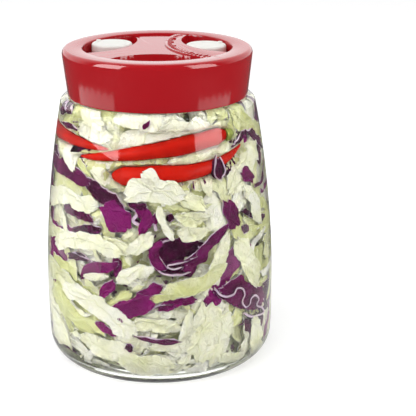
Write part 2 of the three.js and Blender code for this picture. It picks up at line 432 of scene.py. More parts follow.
@dataclass(frozen=True)
class ClearFinish:
    """Clear glass or juice with a faint tint and slow waves, which lamps shine through.

    The mirror is the share of its reflection that stays, hardly any where juice meets glass.
    """

    name: str
    tint: Colour
    index: float
    wave_scale: float
    wave_height: float
    mirror: float = 0.1

    def build(self) -> bpy.types.Material:
        """Makes the material.

        Returns:
            The clear material.
        """
        material, tree, shader, output = new_material(self.name)
        place = tree.add("TexCoord").outputs["Object"]
        wave = tree.add("TexNoise", {"Vector": place, "Scale": self.wave_scale, "Detail": 1.0})
        look = {
            "Base Color": (*self.tint, 1),
            "Transmission Weight": 1.0,
            "Roughness": 0.0,
            "IOR": self.index,
            "Specular Tint": (self.mirror, self.mirror, self.mirror, 1),
            "Normal": bumped(tree, wave.outputs["Fac"], 0.6, self.wave_height),
        }
        tree.feed(shader, look)
        clear = tree.add("BsdfTransparent")
        path = tree.add("LightPath")
        ends = {0: path.outputs["Is Shadow Ray"], 1: shader.outputs[0], 2: clear.outputs[0]}
        tree.feed(output, {"Surface": tree.add("MixShader", ends).outputs[0]})
        return material


@dataclass(frozen=True)
class PlasticFinish:
    """Moulded plastic with a fine grain and slight scuffs."""

    name: str
    colour: Colour
    worn: Colour
    roughness: tuple[float, float]
    grain_height: float = 0.00003

    def build(self) -> bpy.types.Material:
        """Makes the material.

        Returns:
            The plastic material.
        """
        material, tree, shader, _ = new_material(self.name)
        tone = Groups.mottle(tree, tree.add("TexCoord").outputs["Object"], 35.0, 1400.0)
        look = {
            "Base Color": tree.mix(tone.outputs["Patches"], self.colour, self.worn),
            "Roughness": tree.span(tone.outputs["Patches"], *self.roughness),
            "Normal": bumped(tree, tone.outputs["Specks"], 0.5, self.grain_height),
        }
        tree.feed(shader, look)
        return material


@dataclass(frozen=True)
class LeafFinish:
    """A cabbage leaf: skin, veins, pale cut edges and a moist sheen."""

    name: str
    deep: Colour
    skin: Colour
    bright: Colour
    vein: Colour
    cut: Colour
    vein_share: float
    roughness: float = 0.38
    relief: float = 0.0009
    glow: float = 0.25
    sheen: float = 0.06

    def build(self) -> bpy.types.Material:
        """Makes the material.

        Returns:
            The leaf material.
        """
        material, tree, shader, _ = new_material(self.name)
        place = tree.add("Attribute", attribute_name="leaf_place").outputs["Vector"]
        tone = tree.add("Attribute", attribute_name="leaf_tone").outputs["Fac"]
        cut = tree.add("Attribute", attribute_name="leaf_cut").outputs["Fac"]
        patchy = Groups.mottle(tree, place, 0.11, 1.2)
        veins = Groups.place(tree, vein_group, {"Place": place})
        own_tone = tree.math("MULTIPLY_ADD", tone, 0.9, -0.4)
        blend = tree.math("MULTIPLY_ADD", patchy.outputs["Patches"], 0.9, own_tone)
        skin = tree.ramp(blend, [(0.1, self.deep), (0.5, self.skin), (0.9, self.bright)])
        share = tree.math("MULTIPLY", veins.outputs["Veins"], self.vein_share)
        veined = tree.mix(share, skin, self.vein)
        low, high = self.roughness - 0.08, self.roughness + 0.12
        look = {
            "Base Color": tree.mix(cut, veined, self.cut),
            "Subsurface Weight": self.glow,
            "Subsurface Radius": (1.0, 0.9, 0.5),
            "Subsurface Scale": 0.003,
            "Specular IOR Level": self.sheen,
            "Roughness": tree.span(patchy.outputs["Specks"], low, high),
            "Normal": bumped(tree, veins.outputs["Relief"], 0.7, self.relief),
        }
        tree.feed(shader, look)
        return material


@dataclass(frozen=True)
class PileFinish:
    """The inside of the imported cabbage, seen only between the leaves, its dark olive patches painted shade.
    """

    # painted shade: this dark olive stands in for the shade in the gaps between the leaves
    shade: Colour = (0.30, 0.31, 0.16)
    leaf: Colour = (0.78, 0.79, 0.55)
    red: Colour = (0.09, 0.015, 0.06)
    relief: float = 0.001

    def build(self) -> bpy.types.Material:
        """Makes the material.

        Returns:
            The pile's material.
        """
        material, tree, shader, _ = new_material("cabbage_depths")
        tone = Groups.mottle(tree, tree.add("TexCoord").outputs["Object"], 70.0, 260.0)
        # patches of painted shade and of pale leaf, mixed by the large mottle
        leaf_and_painted_shade = tree.ramp(tone.outputs["Patches"], [(0.35, self.shade), (0.6, self.leaf)])
        reds = tree.ramp(tone.outputs["Specks"], [(0.55, (0, 0, 0)), (0.62, (1, 1, 1))])
        look = {
            "Base Color": tree.mix(reds, leaf_and_painted_shade, self.red),
            "Roughness": 0.5,
            "Normal": bumped(tree, tone.outputs["Specks"], 0.7, self.relief),
        }
        tree.feed(shader, look)
        return material


@dataclass(frozen=True)
class ChilliFinish:
    """The skin of a chilli or of its stalk."""

    name: str
    deep: Colour
    bright: Colour
    roughness: float = 0.24
    sheen: float = 0.05
    relief: float = 0.0012

    def build(self) -> bpy.types.Material:
        """Makes the material.

        Returns:
            The skin's material.
        """
        material, tree, shader, _ = new_material(self.name)
        tone = Groups.mottle(tree, tree.add("TexCoord").outputs["Object"], 60.0, 900.0)
        low, high = self.roughness - 0.06, self.roughness + 0.1
        look = {
            "Base Color": tree.ramp(tone.outputs["Patches"], [(0.3, self.deep), (0.65, self.bright)]),
            "Roughness": tree.span(tone.outputs["Specks"], low, high),
            "Specular IOR Level": self.sheen,
            "Normal": bumped(tree, tone.outputs["Patches"], 0.35, self.relief),
        }
        tree.feed(shader, look)
        return material


GLASS = ClearFinish("clear_glass", (0.975, 0.99, 0.98), 1.5, 26.0, 0.0005, mirror=0.5)
WET_GLASS = replace(GLASS, name="clear_glass_wet", mirror=0.1)
BRINE = ClearFinish("brine", (0.985, 0.99, 0.96), 1.33, 18.0, 0.0002)
LID_RED = PlasticFinish("lid_red", (0.47, 0.0075, 0.013), (0.51, 0.0105, 0.017), (0.05, 0.09))
PLUG_WHITE = PlasticFinish("plug_white", (0.86, 0.85, 0.80), (0.90, 0.89, 0.85), (0.4, 0.55), 0.00004)
CHILLI_RED = ChilliFinish("chilli_red", (0.38, 0.005, 0.0015), (0.50, 0.010, 0.003))
STALK_GREEN = ChilliFinish("chilli_stalk", (0.16, 0.20, 0.03), (0.34, 0.40, 0.09), 0.45)
WHITE_CABBAGE = LeafFinish(
    name="white_cabbage",
    deep=(0.55, 0.55, 0.25),
    skin=(0.76, 0.73, 0.54),
    bright=(0.83, 0.79, 0.70),
    vein=(0.73, 0.73, 0.43),
    cut=(0.85, 0.82, 0.70),
    vein_share=0.4,
)
RED_CABBAGE = LeafFinish(
    name="red_cabbage",
    deep=(0.042, 0.0015, 0.02),
    skin=(0.10, 0.003, 0.052),
    bright=(0.19, 0.003, 0.11),
    vein=(0.24, 0.03, 0.18),
    cut=(0.66, 0.50, 0.62),
    vein_share=0.15,
    roughness=0.34,
)


# Mesh helpers


def new_object(name: str, points: np.ndarray | list, faces: list, scale: float = MM) -> bpy.types.Object:
    """Makes a mesh object.

    Args:
        name: The object's name.
        points: Rows of X, Y and Z.
        faces: Corner numbers of each face.
        scale: The points' unit in metres.

    Returns:
        The new object.
    """
    mesh = bpy.data.meshes.new(name)
    mesh.from_pydata((np.asarray(points) * scale).tolist(), [], faces)
    made = bpy.data.objects.new(name, mesh)
    bpy.context.scene.collection.objects.link(made)
    return made


def mesh_piece(
    name: str, points: np.ndarray, faces: list, material: bpy.types.Material, crease: float = 35.0
) -> bpy.types.Object:
    """Makes a smooth-shaded mesh object that rides on the jar.

    Args:
        name: The piece's name.
        points: Rows of X, Y and Z in millimetres.
        faces: Corner numbers of each face.
        material: Its finish.
        crease: Edges sharper than this many degrees stay crisp.

    Returns:
        The new object.
    """
    piece = new_object(name, points, faces)
    piece.data.materials.append(material)
    piece.data.shade_smooth()
    piece.data.set_sharp_from_angle(angle=math.radians(crease))
    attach(piece, BODY)
    return piece


def apply_modifier(piece: bpy.types.Object, kind: str, **settings: object) -> None:
    """Adds a modifier to an object and applies it.

    Args:
        piece: The object.
        kind: The modifier's type.
        settings: Its settings.
    """
    modifier = piece.modifiers.new(kind.lower(), kind)
    for name, setting in settings.items():
        setattr(modifier, name, setting)
    with bpy.context.temp_override(object=piece, active_object=piece):
        bpy.ops.object.modifier_apply(modifier=modifier.name)


def tube_faces(rings: int, sides: int) -> list[tuple[int, ...]]:
    """Lists the faces of a tube whose two end points follow its rings.

    Args:
        rings: Number of rings.
        sides: Points in each ring.

    Returns:
        The faces, closed at both ends.
    """
    faces = []
    for row in range(rings - 1):
        low, high = row * sides, (row + 1) * sides
        for step in range(sides):
            after = (step + 1) % sides
            faces.append((low + step, low + after, high + after, high + step))
    first, last, top = rings * sides, rings * sides + 1, (rings - 1) * sides
    for step in range(sides):
        after = (step + 1) % sides
        faces.append((first, after, step))
        faces.append((last, top + step, top + after))
    return faces


def turned(profile: list[Pair], segments: int) -> tuple[np.ndarray, list]:
    """Turns a profile about the jar's axis into a closed skin.

    Args:
        profile: Radius and height pairs that start and end on the axis.
        segments: Steps round.

    Returns:
        Points in millimetres and faces.
    """
    rings = np.array(profile[1:-1], float)
    turn = np.arange(segments) * 2 * math.pi / segments
    ring_x = rings[:, 0, None] * np.cos(turn)
    ring_y = rings[:, 0, None] * np.sin(turn)
    ring_z = np.repeat(rings[:, 1, None], segments, axis=1)
    points = np.stack([ring_x, ring_y, ring_z], axis=2).reshape(-1, 3)
    ends = np.array([[0, 0, profile[0][1]], [0, 0, profile[-1][1]]])
    return np.vstack([points, ends]), tube_faces(len(rings), segments)


def unit(vectors: np.ndarray) -> np.ndarray:
    """Brings vectors to length 1."""
    return vectors / (np.linalg.norm(vectors, axis=-1, keepdims=True) + 1e-9)


def arc(centre: Pair, radii: Pair, start: float, end: float, steps: int) -> list[Pair]:
    """Gives points of an elliptical arc.

    Args:
        centre: Radius and height of its centre.
        radii: Its two half axes.
        start: First angle in degrees.
        end: Last angle in degrees.
        steps: Steps between them.

    Returns:
        Radius and height pairs.
    """
    turns = np.radians(np.linspace(start, end, steps + 1))
    return [(centre[0] + radii[0] * math.cos(t), centre[1] + radii[1] * math.sin(t)) for t in turns]


def smooth_path(knots: np.ndarray, count: int) -> np.ndarray:
    """Runs a smooth line through a few points.

    Args:
        knots: The points as rows.
        count: Points wanted along the line.

    Returns:
        Points at even lengths along it.
    """
    padded = np.vstack([2 * knots[0] - knots[1], knots, 2 * knots[-1] - knots[-2]])
    pieces = []
    share = np.linspace(0, 1, 16, endpoint=False)[:, None]
    for i in range(len(knots) - 1):
        a, b, c, d = padded[i : i + 4]
        square, cube = 2 * a - 5 * b + 4 * c - d, 3 * b - a - 3 * c + d
        pieces.append(0.5 * (2 * b + (c - a) * share + square * share**2 + cube * share**3))
    line = np.vstack([*pieces, knots[-1:]])
    lengths = np.concatenate([[0], np.cumsum(np.linalg.norm(np.diff(line, axis=0), axis=1))])
    wanted = np.linspace(0, lengths[-1], count)
    return np.stack([np.interp(wanted, lengths, line[:, k]) for k in range(line.shape[1])], axis=1)


# The glass


@dataclass
class GlassJar:
    """The clear jar, turned with fine steps over the source's own profile."""

    shape: JarShape = JAR
    segments: int = 192
    wet_to: float = BRINE_LEVEL
    foot: float = 0.02
    lip: float = 1.4

    def profile(self) -> list[Pair]:
        """Gives the closed outline of the glass.

        Returns:
            Radius and height pairs from the base's middle round to the floor's middle.
        """
        s = self.shape
        heel_side = s.outer(s.heel_height)
        shoulder_side = s.outer(s.shoulder_z)
        outline = [(0, s.punt_depth), (s.punt_radius - 2, s.punt_depth)]
        outline += arc((s.punt_radius - 2, s.punt_depth - 0.5), (2, 0.5), 90, 10, 3)
        outline += [(s.punt_radius + 2.5, self.foot)]
        outline += arc((heel_side - s.heel_radius, s.heel_height), (s.heel_radius, s.heel_height), -90, 0, 16)
        outline += [(s.outer(z), z) for z in np.linspace(s.heel_height + 4, s.shoulder_z, 26)]
        rise = (shoulder_side - s.shoulder_top_radius, s.shoulder_top_z - s.shoulder_z)
        outline += arc((s.shoulder_top_radius, s.shoulder_z), rise, 8, 90, 9)
        outline += [(s.neck_radius, s.shoulder_top_z + 0.2), (s.neck_radius, s.neck_top_z - self.lip)]
        middle = (s.neck_radius + s.mouth_radius) / 2
        outline += arc((middle, s.neck_top_z - self.lip), (s.neck_radius - middle, self.lip), 10, 170, 7)
        inside = np.concatenate([
            np.linspace(s.neck_top_z - 2, 147, 3),
            np.linspace(145.9, 141.2, 8),
            np.linspace(138, 18, 26),
            np.linspace(15.5, 5.4, 14),
        ])
        outline += [(float(s.inner(z)), float(z)) for z in inside]
        return outline + [(float(s.inner(s.floor)) - 0.4, s.floor), (0, s.floor)]

    def build(self) -> bpy.types.Object:
        """Makes the glass and lets it stand for its node.

        Returns:
            The glass object.
        """
        points, faces = turned(self.profile(), self.segments)
        piece = mesh_piece("glass_jar_clear", points, faces, GLASS.build())
        piece.data.materials.append(WET_GLASS.build())
        for face in piece.data.polygons:
            middle = face.center / MM
            reach = math.hypot(middle.x, middle.y)
            inner = reach < float(self.shape.inner(middle.z)) + 0.3
            if inner and self.shape.floor - 0.1 < middle.z < self.wet_to:
                face.material_index = 1
        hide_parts("jar_glass")
        return piece


@dataclass
class Brine:
    """The clear juice round the cabbage, which reaches just into the glass."""

    level: float = BRINE_LEVEL
    overlap: float = 0.06
    segments: int = 192

    def build(self) -> bpy.types.Object:
        """Makes the juice, which has no solid of its own.

        Returns:
            The brine object.
        """
        heights = np.concatenate([
            np.linspace(JAR.floor, 15.5, 14),
            np.linspace(18, 138, 26),
            np.linspace(141.2, 145.9, 8),
            [self.level],
        ])
        side = [(float(JAR.inner(z)) + self.overlap, float(z)) for z in heights]
        base = JAR.floor - self.overlap
        outline = [(0, base), (side[0][0] - 0.4, base), *side[1:], (0, self.level)]
        points, faces = turned(outline, self.segments)
        piece = mesh_piece("brine", points, faces, BRINE.build())
        return piece


# The lid


@dataclass(frozen=True)
class Scoop:
    """A circle in plan whose overlap with the lid's middle is a recess or a band."""

    radius: float
    centre: float
    turn: float


@dataclass
class Lid:
    """The red cap with its three finger recesses and the tick band."""

    height: float = 170.4
    bottom: float = 145.4
    bottom_radius: float = 47.9
    top_radius: float = 50.3
    edge_fillet: tuple[float, float] = (2.2, 3.0)
    cavity_radius: float = 46.0
    cavity_top: float = 157.8
    rim_radius: float = 39.6
    hub_drop: float = 1.1
    recess_floor: float = 160.3
    recesses: tuple[Scoop, ...] = (
        Scoop(28.0, 44.2, 270.0),
        Scoop(37.5, 54.0, 156.0),
        Scoop(37.5, 54.0, 23.0),
    )
    band: Scoop = Scoop(52.7, 58.0, 15.0)
    tick_rise: float = 0.45
    tick_turns: tuple[float, float] = (156.0, 238.0)
    tick_lengths: tuple[float, float] = (2.0, 3.4)
    tick_width: float = 0.76
    ticks: int = 27
    bevel: float = 0.35
    segments: int = 192
    finish: PlasticFinish = LID_RED

    def shell(self) -> list[Pair]:
        """Gives the cap's turned outline without its recesses.

        Returns:
            Radius and height pairs from the cavity's ceiling round to the hub.
        """
        hub = self.height - self.hub_drop
        fillet = self.edge_fillet
        outline = [(0, self.cavity_top), (self.cavity_radius - 1, self.cavity_top)]
        outline += [(self.cavity_radius, self.cavity_top - 1), (self.cavity_radius, self.bottom + 0.6)]
        outline += [(self.cavity_radius + 0.5, self.bottom), (self.bottom_radius - 0.5, self.bottom)]
        outline += arc((self.bottom_radius - 0.6, self.bottom + 0.6), (0.6, 0.6), -60, 0, 4)
        outline += arc((self.top_radius - fillet[0], self.height - fillet[1]), fillet, 4, 90, 16)
        outline += [(self.rim_radius + 0.7, self.height), (self.rim_radius + 0.25, self.height - 0.15)]
        outline += [(self.rim_radius, self.height - 0.5), (self.rim_radius, hub), (0, hub)]
        return outline

    def lens(self, scoop: Scoop, low: float, high: float, within: float) -> bpy.types.Object:
        """Makes an upright prism over the lens that a circle shares with the lid's middle.

        Args:
            scoop: The circle.
            low: Bottom height.
            high: Top height.
            within: Radius of the middle.

        Returns:
            A scratch object.
        """
        d, radius = scoop.centre, scoop.radius
        along = (d**2 + within**2 - radius**2) / (2 * d)
        half = math.sqrt(within**2 - along**2)
        near = math.atan2(half, d - along)
        far = math.atan2(half, along)
        inner = [(d - radius * math.cos(t), radius * math.sin(t)) for t in np.linspace(near, -near, 72)]
        outer = [(within * math.cos(t), within * math.sin(t)) for t in np.linspace(-far, far, 72)[1:-1]]
        angle = math.radians(scoop.turn)
        spin = np.array([[math.cos(angle), math.sin(angle)], [-math.sin(angle), math.cos(angle)]])
        return self.prism(np.array(inner + outer) @ spin, low, high)

    def tick(self, turn: float, long: bool) -> bpy.types.Object:
        """Makes one rib of the tick band.

        Args:
            turn: Direction in degrees from the band's centre.
            long: Whether it is one of the longer ribs.

        Returns:
            A scratch object.
        """
        base, angle = math.radians(self.band.turn), math.radians(turn)
        centre = np.array([math.cos(base), math.sin(base)]) * self.band.centre
        half = self.tick_width / 2
        end = self.band.radius - 1.6
        start = end - self.tick_lengths[long]
        out = np.array([math.cos(angle), math.sin(angle)])
        side = np.array([-out[1], out[0]])
        corners = ((start, -half), (end, -half), (end, half), (start, half))
        plan = np.array([centre + out * r + side * s for r, s in corners])
        return self.prism(plan, self.height - 2 * self.tick_rise, self.height)

    @staticmethod
    def prism(plan: np.ndarray, low: float, high: float) -> bpy.types.Object:
        """Makes an upright prism for cutting or joining.

        Args:
            plan: Its corners as rows of X and Y.
            low: Bottom height.
            high: Top height.

        Returns:
            A scratch object.
        """
        count = len(plan)
        points = np.vstack([np.c_[plan, np.full(count, low)], np.c_[plan, np.full(count, high)]])
        faces = [tuple(range(count))[::-1], tuple(range(count, 2 * count))]
        faces += [(i, (i + 1) % count, count + (i + 1) % count, count + i) for i in range(count)]
        return new_object("scratch", points, faces)

    @staticmethod
    def join(pieces: list[bpy.types.Object]) -> bpy.types.Object:
        """Joins scratch objects.

        Args:
            pieces: The objects.

        Returns:
            The first one, which holds them all.
        """
        with bpy.context.temp_override(active_object=pieces[0], selected_editable_objects=pieces):
            bpy.ops.object.join()
        return pieces[0]

    @staticmethod
    def combine(target: bpy.types.Object, other: bpy.types.Object, operation: str) -> None:
        """Cuts (DIFFERENCE) or joins (UNION) one object with another, and drops the other."""
        apply_modifier(target, "BOOLEAN", operation=operation, solver="EXACT", use_self=True, object=other)
        bpy.data.objects.remove(other)

    def build(self) -> bpy.types.Object:
        """Makes the cap: turns it, adds the band, cuts the recesses and softens the edges.

        Returns:
            The lid object.
        """
        points, faces = turned(self.shell(), self.segments)
        lid = mesh_piece("lid_cap", points, faces, self.finish.build(), 28)
        top = self.height - self.tick_rise
        band = self.lens(self.band, self.height - 2.5, top, self.rim_radius + 0.3)
        self.combine(lid, band, "UNION")
        first, last = self.tick_turns
        step = (last - first) / (self.ticks - 1)
        ribs = [self.tick(first + step * i, i % 4 == 0) for i in range(self.ticks)]
        self.combine(lid, self.join(ribs), "UNION")
        for recess in self.recesses:
            cutter = self.lens(recess, self.recess_floor, self.height + 3, self.rim_radius)
            self.combine(lid, cutter, "DIFFERENCE")
        sharp = {"limit_method": "ANGLE", "angle_limit": math.radians(40)}
        apply_modifier(lid, "BEVEL", width=self.bevel * MM, segments=2, **sharp)
        lid.data.shade_smooth()
        lid.data.set_sharp_from_angle(angle=math.radians(32))
        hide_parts("lid")
        return lid


@dataclass
class VentPlug:
    """A white plug with a softened edge, a shallow dish on top and a small nub."""

    node: str
    turn: float
    top: float
    low: float = 160.6
    radius: float = 10.9
    centre: float = 28.0
    fillet: float = 1.2
    nub_radius: float = 1.3
    nub_rise: float = 0.9
    nub_fillet: float = 0.45

    def build(self, material: bpy.types.Material) -> bpy.types.Object:
        """Makes the plug in its recess.

        Args:
            material: The white plastic.

        Returns:
            The plug object.
        """
        r, f, top = self.radius, self.fillet, self.top
        outline = [(0, self.low), (r - 0.4, self.low), (r, self.low + 0.4), (r, self.low + 2.6)]
        outline += [(r - 0.35, self.low + 2.9), (r - 0.35, self.low + 3.3), (r, self.low + 3.6)]
        outline += arc((r - f, top - f), (f, f), 0, 84, 8)
        outline += [(r - 2.2, top + 0.12), (r - 2.8, top - 0.15), (r - 4, top - 0.05), (0, top + 0.2)]
        body, faces = turned(outline, 72)
        n = self.nub_fillet
        nub_line = [(0, top - 1), (self.nub_radius, top - 1)]
        nub_line += arc((self.nub_radius - n, top + self.nub_rise - n), (n, n), 0, 90, 4)
        nub_line += [(0, top + self.nub_rise)]
        nub, nub_faces = turned(nub_line, 24)
        angle = math.radians(self.turn)
        outward = np.array([math.cos(angle), math.sin(angle), 0])
        nub += outward * (r - 2 * self.nub_radius)
        faces += [tuple(i + len(body) for i in face) for face in nub_faces]
        points = np.vstack([body, nub]) + outward * self.centre
        piece = mesh_piece(self.node + "_moulded", points, faces, material, 40)
        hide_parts(self.node)
        return piece


# Chillies


@dataclass
class Chilli:
    """A chilli pod lying against the glass."""

    node: str
    radius: float
    blunt: float
    line: tuple[Point, ...]
    stem: bool = False
    sides: int = 40
    steps: int = 110
    clear: float = 0.6

    def share(self, along: np.ndarray) -> np.ndarray:
        """Gives how thick the pod is along its length.

        Args:
            along: Places from 0 at the blunt end to 1 at the tip.

        Returns:
            The thickness at each, as a share of the most.
        """
        shoulder = np.sqrt(np.clip(along / 0.09, 0, 1))
        taper = np.clip(1 - along, 0, 1) ** 0.55
        start = self.blunt + (1 - self.blunt) * np.minimum(1, along * 4)
        return np.clip(start * shoulder * np.minimum(1, 1.25 * taper), 0, 1)

    def back_of(self, grid: np.ndarray) -> np.ndarray:
        """Gives how deep a leaf has to lie to pass behind the pod.

        Args:
            grid: Points on the unrolled glass.

        Returns:
            The least depth at each point, 0 away from the pod.
        """
        count = 60
        line = smooth_path(np.array(self.line, float), count)
        spots = np.stack([np.radians(line[:, 0]) * Unrolled.RADIUS, line[:, 1]], axis=1)
        share = np.maximum(self.share(np.linspace(0, 1, count)), 0.2)
        gap = np.linalg.norm(grid[..., None, :2] - spots, axis=-1)
        near = np.argmin(gap, axis=-1)
        gap = np.min(gap, axis=-1)
        radius = self.radius * share[near]
        middle = self.clear + self.radius + line[near, 2]
        over = middle + np.sqrt(np.maximum(radius**2 - gap**2, 0)) + 0.5
        beside = middle * np.clip(1 - (gap - radius) / (0.8 * self.radius), 0, 1)
        return np.where(gap < radius, over, beside)

    def build(self, skin: bpy.types.Material, green: bpy.types.Material) -> list[bpy.types.Object]:
        """Makes the pod, and its stem where it shows.

        Args:
            skin: The pod's finish.
            green: The stem's finish.

        Returns:
            The new objects.
        """
        knots = []
        for degrees, z, deep in self.line:
            angle = math.radians(degrees)
            reach = float(JAR.inner(z)) - self.clear - self.radius - deep
            knots.append((reach * math.sin(angle), -reach * math.cos(angle), z))
        spine = smooth_path(np.array(knots), self.steps + 1)
        tangent = unit(np.gradient(spine, axis=0))
        out = unit(spine * np.array([1, 1, 0]))
        up = unit(np.cross(tangent, out))
        side = np.cross(up, tangent)
        along = np.linspace(0, 1, self.steps + 1)
        thick = self.radius * self.share(along)
        turn = np.arange(self.sides) * 2 * math.pi / self.sides
        furrow = 1 - 0.035 * (1 + np.cos(3 * turn[None, :] + 5 * along[:, None]))
        dents = 1 - 0.025 * (1 + np.sin(23 * along[:, None] + 2 * turn[None, :]))
        girth = thick[:, None] * furrow * dents
        rings = (
            spine[:, None]
            + side[:, None] * (girth * np.cos(turn))[..., None]
            + up[:, None] * (girth * np.sin(turn))[..., None]
        )[1:-1]
        points = np.vstack([rings.reshape(-1, 3), spine[:1], spine[-1:]])
        faces = tube_faces(len(rings), self.sides)
        pod = mesh_piece(self.node + "_pod", points, faces, skin, 60)
        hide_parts(self.node)
        if not self.stem:
            return [pod]
        return [pod, self.stalk(spine[0], -tangent[0], out[0], green)]

    def stalk(
        self, root: np.ndarray, away: np.ndarray, out: np.ndarray, green: bpy.types.Material
    ) -> bpy.types.Object:
        """Makes the green cap and stalk at the blunt end.

        Args:
            root: Middle of the blunt end.
            away: Direction out of the pod.
            out: Direction to the glass.
            green: The stem's finish.

        Returns:
            The stalk object.
        """
        up = np.cross(away, out)
        length, rise, sides = 6.5, 1.6, 16
        turn = np.arange(sides) * 2 * math.pi / sides
        rings = []
        for share in np.linspace(-0.35, 1, 12):
            radius = 3.4 * (1 - share) ** 2.2 + 1.15 if share >= 0 else 3.6
            middle = root + away * length * share + up * rise * max(share, 0) ** 2
            flare = radius * (1 + 0.08 * np.cos(5 * turn))
            rings.append(middle + np.outer(np.cos(turn) * flare, out) + np.outer(np.sin(turn) * flare, up))
        points = keep_inside(np.vstack([*rings, rings[0].mean(0), rings[-1].mean(0)]))
        return mesh_piece(self.node + "_stalk", points, tube_faces(len(rings), sides), green, 60)


def keep_inside(points: np.ndarray) -> np.ndarray:
    """Pulls points in that would touch the glass.

    Args:
        points: Rows of X, Y and Z in millimetres.

    Returns:
        The points, clear of the glass.
    """
    reach = np.hypot(points[:, 0], points[:, 1])
    limit = JAR.inner(points[:, 2]) - Unrolled.CLEAR
    shrink = np.minimum(1, limit / np.maximum(reach, 1e-6))
    return points * np.c_[shrink, shrink, np.ones(len(points))]


# The cabbage


class Packing:
    """Keeps how near the glass the laid leaves come, so that the next one lies on them.

    The jar's wall is cut into cells of one STEP. START is the depth of the bare core, GAP the
    room left between leaves and BEHIND the room left behind a shown one. Kept places spread
    by EASE_STEPS cells with an even SLOPE. CROWDED is the share of a scattered leaf that may
    come too near the glass before it is left out.
    """

    STEP = 1.2
    START = 8.2
    GAP = 0.12
    BEHIND = 0.3
    SLOPE = 0.9
    EASE_STEPS = 7
    CROWDED = 0.3

    def __init__(self) -> None:
        """Starts with the bare core, and no place kept free."""
        self.round = int(2 * math.pi * Unrolled.RADIUS / self.STEP)
        self.tall = int((Unrolled.HIGH - Unrolled.LOW) / self.STEP) + 2
        self.front = np.full((self.round, self.tall), self.START)
        self.kept = np.zeros((self.round, self.tall))

    def cells(self, grid: np.ndarray) -> tuple[np.ndarray, np.ndarray]:
        """Finds the cells that points lie in.

        Args:
            grid: Points on the unrolled glass.

        Returns:
            Each point's place round and up.
        """
        around = np.floor(grid[..., 0] / self.STEP).astype(int) % self.round
        up = np.clip((grid[..., 1] - Unrolled.LOW) / self.STEP, 0, self.tall - 1).astype(int)
        return around, up

    @staticmethod
    def doubled(grid: np.ndarray) -> np.ndarray:
        """Adds the middles between a grid's points, so that no cell under it is missed.

        Args:
            grid: Points on the unrolled glass.

        Returns:
            The denser grid.
        """
        for _ in range(2):
            rows = np.empty((2 * len(grid) - 1, *grid.shape[1:]))
            rows[::2] = grid
            rows[1::2] = (grid[:-1] + grid[1:]) / 2
            grid = rows.swapaxes(0, 1)
        return grid

    def keep(self, grid: np.ndarray, thick: float) -> None:
        """Keeps the space before a shown leaf free of scattered ones."""
        dense = self.doubled(grid)
        np.maximum.at(self.kept, self.cells(dense), dense[..., 2] + thick / 2 + self.BEHIND)

    def ease(self) -> None:
        """Widens the kept places with an even slope, so that leaves bend round them."""
        ways = [(i, j) for i in (-1, 0, 1) for j in (-1, 0, 1) if i or j]
        fall = self.SLOPE * self.STEP
        for _ in range(self.EASE_STEPS):
            sides = [np.roll(self.kept, way, (0, 1)) - fall * math.hypot(*way) for way in ways]
            self.kept = np.max([self.kept, *sides], axis=0)

    def settled(self, leaf: Leaf, grid: np.ndarray) -> np.ndarray | None:
        """Lifts a leaf towards the glass where others lie in its way, in a smooth swell.

        Args:
            leaf: The leaf.
            grid: Its middle surface.

        Returns:
            The lifted surface, or nothing where a scattered leaf has no room.
        """
        free = self.front[self.cells(grid)] - leaf.thick / 2 - self.GAP
        lift = np.maximum(grid[..., 2] - free, 0)
        rows, columns = lift.shape
        for merge in (np.max, np.mean, np.mean, np.mean):
            padded = np.pad(lift, 1, mode="edge")
            around = [padded[i : i + rows, j : j + columns] for i in range(3) for j in range(3)]
            lift = merge(around, axis=0)
        depth = grid[..., 2] - lift
        if leaf.scattered and np.mean(depth < leaf.nearest) > self.CROWDED:
            return None
        depth = np.maximum(depth, np.minimum(grid[..., 2], leaf.nearest))
        if leaf.scattered:
            depth = np.maximum(depth, self.kept[self.cells(grid)])
        return np.concatenate([grid[..., :2], depth[..., None]], axis=2)

    def mark(self, grid: np.ndarray, thick: float) -> None:
        """Notes where a laid leaf's near face is."""
        dense = self.doubled(grid)
        np.minimum.at(self.front, self.cells(dense), dense[..., 2] - thick / 2)


